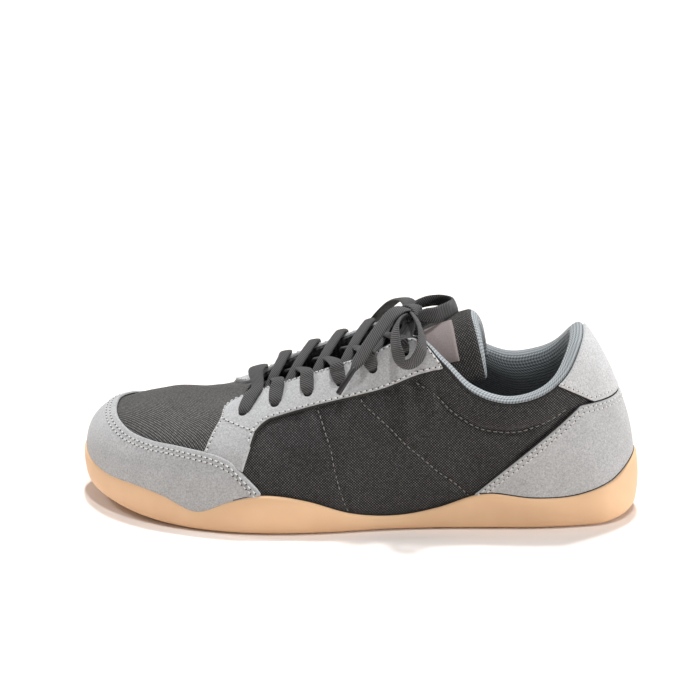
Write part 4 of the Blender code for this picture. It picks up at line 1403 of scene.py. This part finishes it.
def ribbon(name, points, ups, widths, thicknesses, mat):
    """A flat braid along a path, with rounded edges."""
    count = len(points)
    tangent = unit(np.gradient(points, axis=0))
    ups = unit(ups - tangent * (ups * tangent).sum(axis=1, keepdims=True))
    side = np.cross(tangent, ups)
    turns = np.linspace(0, 2 * np.pi, 16, endpoint=False)
    round_across = np.sign(np.cos(turns)) * np.abs(np.cos(turns)) ** 0.75
    round_up = np.sign(np.sin(turns)) * np.abs(np.sin(turns)) ** 0.75
    rings = points[:, None] + (
        round_across[None, :, None] * side[:, None] * (widths / 2)[:, None, None]
        + round_up[None, :, None] * ups[:, None] * (thicknesses / 2)[:, None, None]
    )
    uv = np.stack(np.broadcast_arrays(round_across[None] * LACE_WIDTH / 2, walked(points)[:, None]), axis=-1)
    return make_object(name, rings.reshape(-1, 3), tube_faces(count, 16), [mat], "lace", uv.reshape(-1, 2))


def throat_edge(index, lateral):
    """The point of the throat's edge beside an eyelet."""
    return surface(side_spoke(EYELETS[index][0], lateral), 1.0)


def dive(index, lateral):
    """Places, face directions, widths and thicknesses of a strand over the edge and into an eyelet."""
    spoke, share = EYELETS[index]
    own = side_spoke(spoke, lateral)
    on_top = OVERLAY_TOP + LACE_THICKNESS / 2
    edge = lifted(own, 0.985, on_top + 0.0009)
    between = lifted(own, (share + 1.0) / 2, on_top + 0.0006)
    mouth = eyelet(index, lateral, OVERLAY_TOP + 0.0003, 0.017)
    hole = eyelet(index, lateral, -0.0012, 0.006)
    below = eyelet(index, lateral, -0.0040, 0.004)
    normal = eyelet_normal(index, lateral)
    upward = unit(edge - mouth)
    leaning = [unit(normal + 0.8 * UP), unit(normal + 0.2 * UP), unit(normal * 0.8 - upward * 0.6)]
    widths = [LACE_WIDTH * part for part in (0.80, 0.95, 0.82, 0.56, 0.52)]
    thick = [LACE_THICKNESS * part for part in (1.0, 1.0, 1.1, 1.3, 1.3)]
    return [edge, between, mouth, hole, below], leaning + [-upward, -upward], widths, thick


def strand(name, points, ups, widths, thick, mat, count=44):
    table = np.column_stack([np.array(points), np.array(ups), widths, thick])
    fine = resample(table, count)
    return ribbon(name, fine[:, :3], unit(fine[:, 3:6]), fine[:, 6], fine[:, 7], mat)


def build_crossing(index, start_lateral, mat, lift):
    """A strand from under one edge of the throat at an eyelet, over the other edge into the next eyelet."""
    near = throat_edge(index, start_lateral)
    far = throat_edge(index + 1, not start_lateral)
    under = eyelet(index, start_lateral, -LACE_UNDER, LACE_START)
    inside = near + (far - near) * 0.14 - UP * 0.0048
    crown = (near + far) / 2 + UP * lift
    over, faces, widths, thick = dive(index + 1, not start_lateral)
    lean = unit(UP + 0.4 * unit(far - near))
    points = [under, inside, crown] + over
    ups = [unit(UP + 0.5 * eyelet_normal(index, start_lateral)), lean, UP] + faces
    sizes = [LACE_WIDTH * 0.9, LACE_WIDTH * 0.75, LACE_WIDTH * LACE_GATHER] + widths
    side = "lateral" if start_lateral else "medial"
    return strand(f"lace_{index + 1}_from_{side}", points, ups, sizes, [LACE_THICKNESS] * 3 + thick, mat)


def build_front_bar(mat):
    first, faces_a, widths_a, thick_a = dive(0, True)
    second, faces_b, widths_b, thick_b = dive(0, False)
    crown = (first[0] + second[0]) / 2 + np.array([-0.002, 0, 0.003])
    points = first[::-1] + [crown] + second
    ups = faces_a[::-1] + [UP] + faces_b
    widths = widths_a[::-1] + [LACE_WIDTH] + widths_b
    thick = thick_a[::-1] + [LACE_THICKNESS] + thick_b
    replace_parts(strand("lace_front", points, ups, widths, thick, mat, 60), "lace_bar_front")


def build_top_strands(mat):
    """The two strands from under the throat's edges at the top eyelets up to the knot."""
    knot = shares_to_space([KNOT])[0]
    last = len(EYELETS) - 1
    for side in ("lateral", "medial"):
        lateral = side == "lateral"
        near = throat_edge(last, lateral)
        under = eyelet(last, lateral, -LACE_UNDER, LACE_START)
        inside = near + (knot - near) * 0.2 - UP * 0.0040
        toward = knot - UP * 0.0045 + (near - knot) * 0.18
        points = [under, inside, toward, knot - UP * 0.002]
        ups = [unit(UP + 0.5 * eyelet_normal(last, lateral)), UP, UP, UP]
        widths = [LACE_WIDTH * share for share in (0.9, 1.0, 0.85, 0.6)]
        obj = strand(f"lace_top_{side}", points, ups, widths, [LACE_THICKNESS] * 4, mat, 28)
        if lateral:
            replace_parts(obj, "lace_bar_top")


def build_loose(name, rows, mat, node, kind, lean=0.0):
    """A loop or an end of the bow."""
    points = resample(shares_to_space(rows), 60)
    part = np.linspace(0, 1, len(points))
    widths = LACE_WIDTH * (0.55 + 0.45 * np.clip(part / 0.12, 0, 1))
    if kind == "loop":
        ups = unit(unit(points - points.mean(axis=0)) + lean * UP)
        widths = np.minimum(widths, widths[::-1])
    else:
        core = to_space(KNOT[0], 0.04, 0.62 * TOP_HEIGHT)
        ups = unit(points - core)
        widths = widths * (1 - 0.55 * np.clip((part - 0.9) / 0.1, 0, 1))
    obj = ribbon(name, points, ups, widths, np.full_like(part, LACE_THICKNESS * 0.8), mat)
    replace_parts(obj, node)


def build_knot(mat):
    """The knot: a wrap round the middle of two crossing strands."""
    knot = shares_to_space([KNOT])[0]
    turns = np.linspace(0, 2 * np.pi, 40)
    axis = unit(np.array([0.45, 0.85, 0.15]))
    side = unit(np.cross(axis, UP))
    up = np.cross(side, axis)
    ring = knot + KNOT_WIDE * np.cos(turns)[:, None] * side + KNOT_HIGH * np.sin(turns)[:, None] * up
    ring = ring + axis * KNOT_CLIMB * np.sin(turns * 0.5)[:, None]
    widths = np.full(40, LACE_WIDTH * 0.95)
    obj = ribbon("bow_wrap", ring, unit(ring - knot), widths, np.full(40, KNOT_WRAP), mat)
    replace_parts(obj, "lace_knot")
    across = np.linspace(-1, 1, 24)
    core = knot + axis * CORE_HALF * across[:, None] + UP * CORE_RISE * (1 - across**2)[:, None]
    widths = LACE_WIDTH * (0.95 - 0.25 * (1 - across**2))
    ribbon("bow_core", core, np.tile(up, (24, 1)), widths, np.full(24, CORE_THICKNESS), mat)


def build_aglet(name, rows, mat, node):
    points = shares_to_space(rows)
    aim = unit(points[-1] - points[-2])
    side = unit(np.cross(aim, UP))
    round_it = AGLET_RADIUS * circle(side, np.cross(aim, side), 20)
    rings = [points[-1] + aim * (along - AGLET_OVERLAP) + radius * round_it for along, radius in AGLET]
    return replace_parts(rings_object(name, rings, [mat], "aglet"), node)


def build_laces(mat, tip):
    build_front_bar(mat)
    for index in range(len(EYELETS) - 1):
        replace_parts(build_crossing(index, True, mat, CROWN_LATERAL), f"lace_crossing_{index + 1}")
        build_crossing(index, False, mat, CROWN_MEDIAL)
    build_top_strands(mat)
    build_knot(mat)
    lateral_tip = build_aglet("tip_lateral", END_LATERAL, tip, "aglet_lateral")
    medial_tip = build_aglet("tip_medial", END_MEDIAL, tip, "aglet_medial")
    build_loose("bow_loop_lateral", LOOP_LATERAL, mat, "lace_loop_lateral", "loop")
    build_loose("bow_loop_medial", LOOP_MEDIAL, mat, "lace_loop_medial", "loop", lean=0.35)
    build_loose("bow_end_lateral", END_LATERAL, mat, "lace_end_lateral", "end")
    build_loose("bow_end_medial", END_MEDIAL, mat, "lace_end_medial", "end")


# Disc and tread


def build_disc(mat):
    """The plain round plate in the forefoot, a hair inside the ground face."""
    edge = spokes_at(COUNT - np.arange(8, 24) / 4)[1].max() * HALF + SIDEWALL
    front = spring(DISC_ALONG - DISC_RADIUS / LENGTH)
    back = spring(DISC_ALONG + DISC_RADIUS / LENGTH)
    tilt = math.atan((front - back) / (2 * DISC_RADIUS))
    centre = np.array([(DISC_ALONG - 0.5) * LENGTH, edge - DISC_FROM_MEDIAL, (front + back) / 2 + 0.0001])
    up = np.array([math.sin(tilt), 0, math.cos(tilt)])
    side = np.array([math.cos(tilt), 0, -math.sin(tilt)])
    round_it = DISC_RADIUS * circle(side, np.array([0.0, 1.0, 0.0]), 72)
    rings = [centre + radius * round_it + up * height for radius, height in DISC_PROFILE]
    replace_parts(rings_object("plain_disc", rings, [mat], "disc_rubber"), "sole_disc")
    return centre[:2]


def tread_lines():
    """The grooves' middle lines: a bar in each cell of a net, and lines from its ends to the corners."""
    lines = []
    reach = int(0.62 * LENGTH / TREAD_CELL)
    for column in range(-reach, reach + 1):
        for row in range(-reach, reach + 1):
            centre = np.array([column, row], float)
            bar = np.array([1.0, 0.0]) if (column + row) % 2 else np.array([0.0, 1.0])
            ends = (centre - bar * TREAD_BAR, centre + bar * TREAD_BAR)
            lines.append(ends)
            for end, side in zip(ends, (-1, 1)):
                for other in (-1, 1):
                    corner = centre + 0.5 * (bar * side + bar[::-1] * other)
                    lines.append((end, corner))
    cos, sin = math.cos(TREAD_TURN), math.sin(TREAD_TURN)
    turn = np.array([[cos, sin], [-sin, cos]])
    return [(start @ turn * TREAD_CELL, end @ turn * TREAD_CELL) for start, end in lines]


def inside_outline(points, outline):
    """Which level points lie inside a closed outline."""
    x, y = points[:, 0][:, None], points[:, 1][:, None]
    start = outline
    end = np.roll(outline, -1, axis=0)
    crosses = (start[:, 1] > y) != (end[:, 1] > y)
    rise = np.where(np.abs(end[:, 1] - start[:, 1]) < 1e-12, 1e-12, end[:, 1] - start[:, 1])
    at = start[:, 0] + (y - start[:, 1]) / rise * (end[:, 0] - start[:, 0])
    return (crosses & (x < at)).sum(axis=1) % 2 == 1


def groove_strip(points, width):
    """A flat strip along points of the ground face, set into it and a hair outside it."""
    level = np.column_stack([points, np.zeros(len(points))])
    tangent = unit(np.gradient(level, axis=0))
    side = np.cross(UP, tangent)
    rows = []
    for across, rise in ((-0.5, 0.00004), (0.5, 0.00004), (0.5, 0.0004), (-0.5, 0.0004)):
        row = level + side * across * width
        row[:, 2] = ground_height(row) + rise
        rows.append(row)
    return np.stack(rows, axis=1).reshape(-1, 3), tube_faces(len(points), 4)


def build_tread(mat, disc):
    """Thin grooves in the ground face as flat strips, dark with painted shade, clear of the disc, inside a
    line that follows the outline.
    """
    spoke = evenly(6)
    foot = surface(spoke, 0.0)
    line = foot - outward(spoke) * TREAD_LINE
    outline = (foot - outward(spoke) * TREAD_INSET)[:, :2]
    parts = [groove_strip(np.concatenate([line[:, :2], line[:1, :2]]), GROOVE * 0.6)]
    for start, end in tread_lines():
        steps = start + (end - start) * np.linspace(0, 1, 7)[:, None]
        keep = inside_outline(steps, outline) & (np.linalg.norm(steps - disc, axis=1) > DISC_RADIUS + GROOVE)
        runs = np.flatnonzero(keep)
        if len(runs) > 1:
            parts.append(groove_strip(steps[runs[0] : runs[-1] + 1], GROOVE))
    # the grooves' dark colour is painted shade
    make_object("tread_grooves_painted_shade", *joined(parts), [mat], "sole_rubber", sharp=30)


# Light, floor and camera


def add_sun(name, toward, strength, spread_degrees):
    light = bpy.data.lights.new(name, "SUN")
    light.energy = strength
    light.angle = math.radians(spread_degrees)
    obj = bpy.data.objects.new(name, light)
    obj.rotation_euler = Vector(toward).to_track_quat("Z", "Y").to_euler()
    bpy.context.scene.collection.objects.link(obj)


def build_stage():
    bpy.ops.mesh.primitive_plane_add(size=FLOOR_SIZE, location=(0, 0, 0))
    floor = bpy.context.object
    floor.name = "floor"
    floor.data.materials.append(new_material("floor", FLOOR_COLOUR, 1.0)[0])
    world = bpy.data.worlds.new("world")
    bpy.context.scene.world = world
    world.use_nodes = True
    world.node_tree.nodes["Background"].inputs["Color"].default_value = (1, 1, 1, 1)
    world.node_tree.nodes["Background"].inputs["Strength"].default_value = WORLD_STRENGTH
    for sun in SUNS:
        add_sun(*sun)


def build_camera():
    scene = bpy.context.scene
    azimuth = math.radians(CAMERA_AZIMUTH)
    elevation = math.radians(CAMERA_ELEVATION)
    level = math.cos(elevation)
    place = Vector((math.sin(azimuth) * level, -math.cos(azimuth) * level, math.sin(elevation)))
    data = bpy.data.cameras.new("camera")
    data.sensor_width = SENSOR
    data.lens = SENSOR * CAMERA_FOCAL_PIXELS / PICTURE
    data.shift_x = (PICTURE / 2 - ORIGIN_PIXEL[0]) / PICTURE
    data.shift_y = (ORIGIN_PIXEL[1] - PICTURE / 2) / PICTURE
    data.clip_start = 0.05
    data.clip_end = 50
    camera = bpy.data.objects.new("camera", data)
    camera.location = place * CAMERA_DISTANCE
    camera.rotation_euler = (-place).to_track_quat("-Z", "Y").to_euler()
    scene.collection.objects.link(camera)
    scene.camera = camera
    scene.view_settings.view_transform = "Standard"


# The whole shoe


def build_overlays(upper, suede, tab_suede_painted_light):
    panel_object("suede_toe_cap", *toe_cap_grid(), suede, "toe_cap", top=CAP_TOP)
    panel_object("suede_counter", *counter_grid(), suede, "heel_counter", puffed=0.0002)
    # the heel tab's suede is the same suede painted lighter: painted light for the light the tab catches
    panel_object("suede_heel_tab", *heel_tab_grid(), tab_suede_painted_light, "heel_tab", puffed=0.0004)
    cutter = punches()
    punch(upper, cutter)
    for side in ("lateral", "medial"):
        grid = eyestay_grid(side == "lateral")
        punch(panel_object(f"suede_eyestay_{side}", *grid, suede, f"eyestay_{side}"), cutter)
    bpy.data.objects.remove(cutter, do_unlink=True)


def main():
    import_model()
    build_camera()
    build_stage()
    vamp = canvas_material("vamp_canvas", (0.026, 0.025, 0.024), (0.078, 0.076, 0.074), (1.25, 1.23, 1.20))
    canvas = canvas_material("side_canvas", (0.002, 0.002, 0.002), (0.036, 0.035, 0.035), (1.50, 1.48, 1.45))
    dark_canvas = canvas_material(
        "tongue_canvas", (0.005, 0.005, 0.005), (0.036, 0.035, 0.034), (1.60, 1.54, 1.48)
    )
    knit = knit_material("collar_knit", (0.44, 0.48, 0.50), (0.13, 0.147, 0.157), 0.0011)
    lining = knit_material("lining_mesh", (0.10, 0.105, 0.11), (0.01, 0.01, 0.011), 0.0016)
    # dark edge colour for the cut edges and the collar's edge, also painted shade along panel edges and the
    # sole's joint
    edge = plain_material("dark_edge_and_painted_shade", (0.025, 0.024, 0.023), 0.95)
    build_laces(lace_material(), plain_material("aglet", (0.02, 0.018, 0.02), 0.35))
    build_sole(rubber_material())
    disc = build_disc(plain_material("disc_rubber", (0.055, 0.052, 0.05), 0.6))
    # painted shade: the grooves' dark brown stands in for the shade in them
    build_tread(plain_material("groove_painted_shade", (0.16, 0.075, 0.035), 0.8), disc)
    build_insole(knit_material("footbed_cloth", (0.035, 0.035, 0.037), (0.01, 0.01, 0.01), 0.0016))
    upper = build_upper(vamp, canvas, lining)
    # the tab's suede is a lighter copy of the suede, painted light
    build_overlays(upper, suede_material("suede", 0.455), suede_material("suede_tab_painted_light", 0.53))
    build_cut_edges_and_painted_shade(edge)
    build_stitches(
        plain_material("pale_thread", (0.68, 0.68, 0.67), 0.8),
        plain_material("dark_thread", (0.20, 0.19, 0.175), 0.8),
        # painted shade: the dark colour of the needle holes
        plain_material("needle_hole_painted_shade", (0.03, 0.03, 0.03), 1.0),
    )
    build_collar(knit)
    build_collar_edge(edge)
    build_tongue(dark_canvas, knit)
    build_label(plain_material("label", (0.25, 0.21, 0.205), 0.75, 0.0005, 0.3))


main()
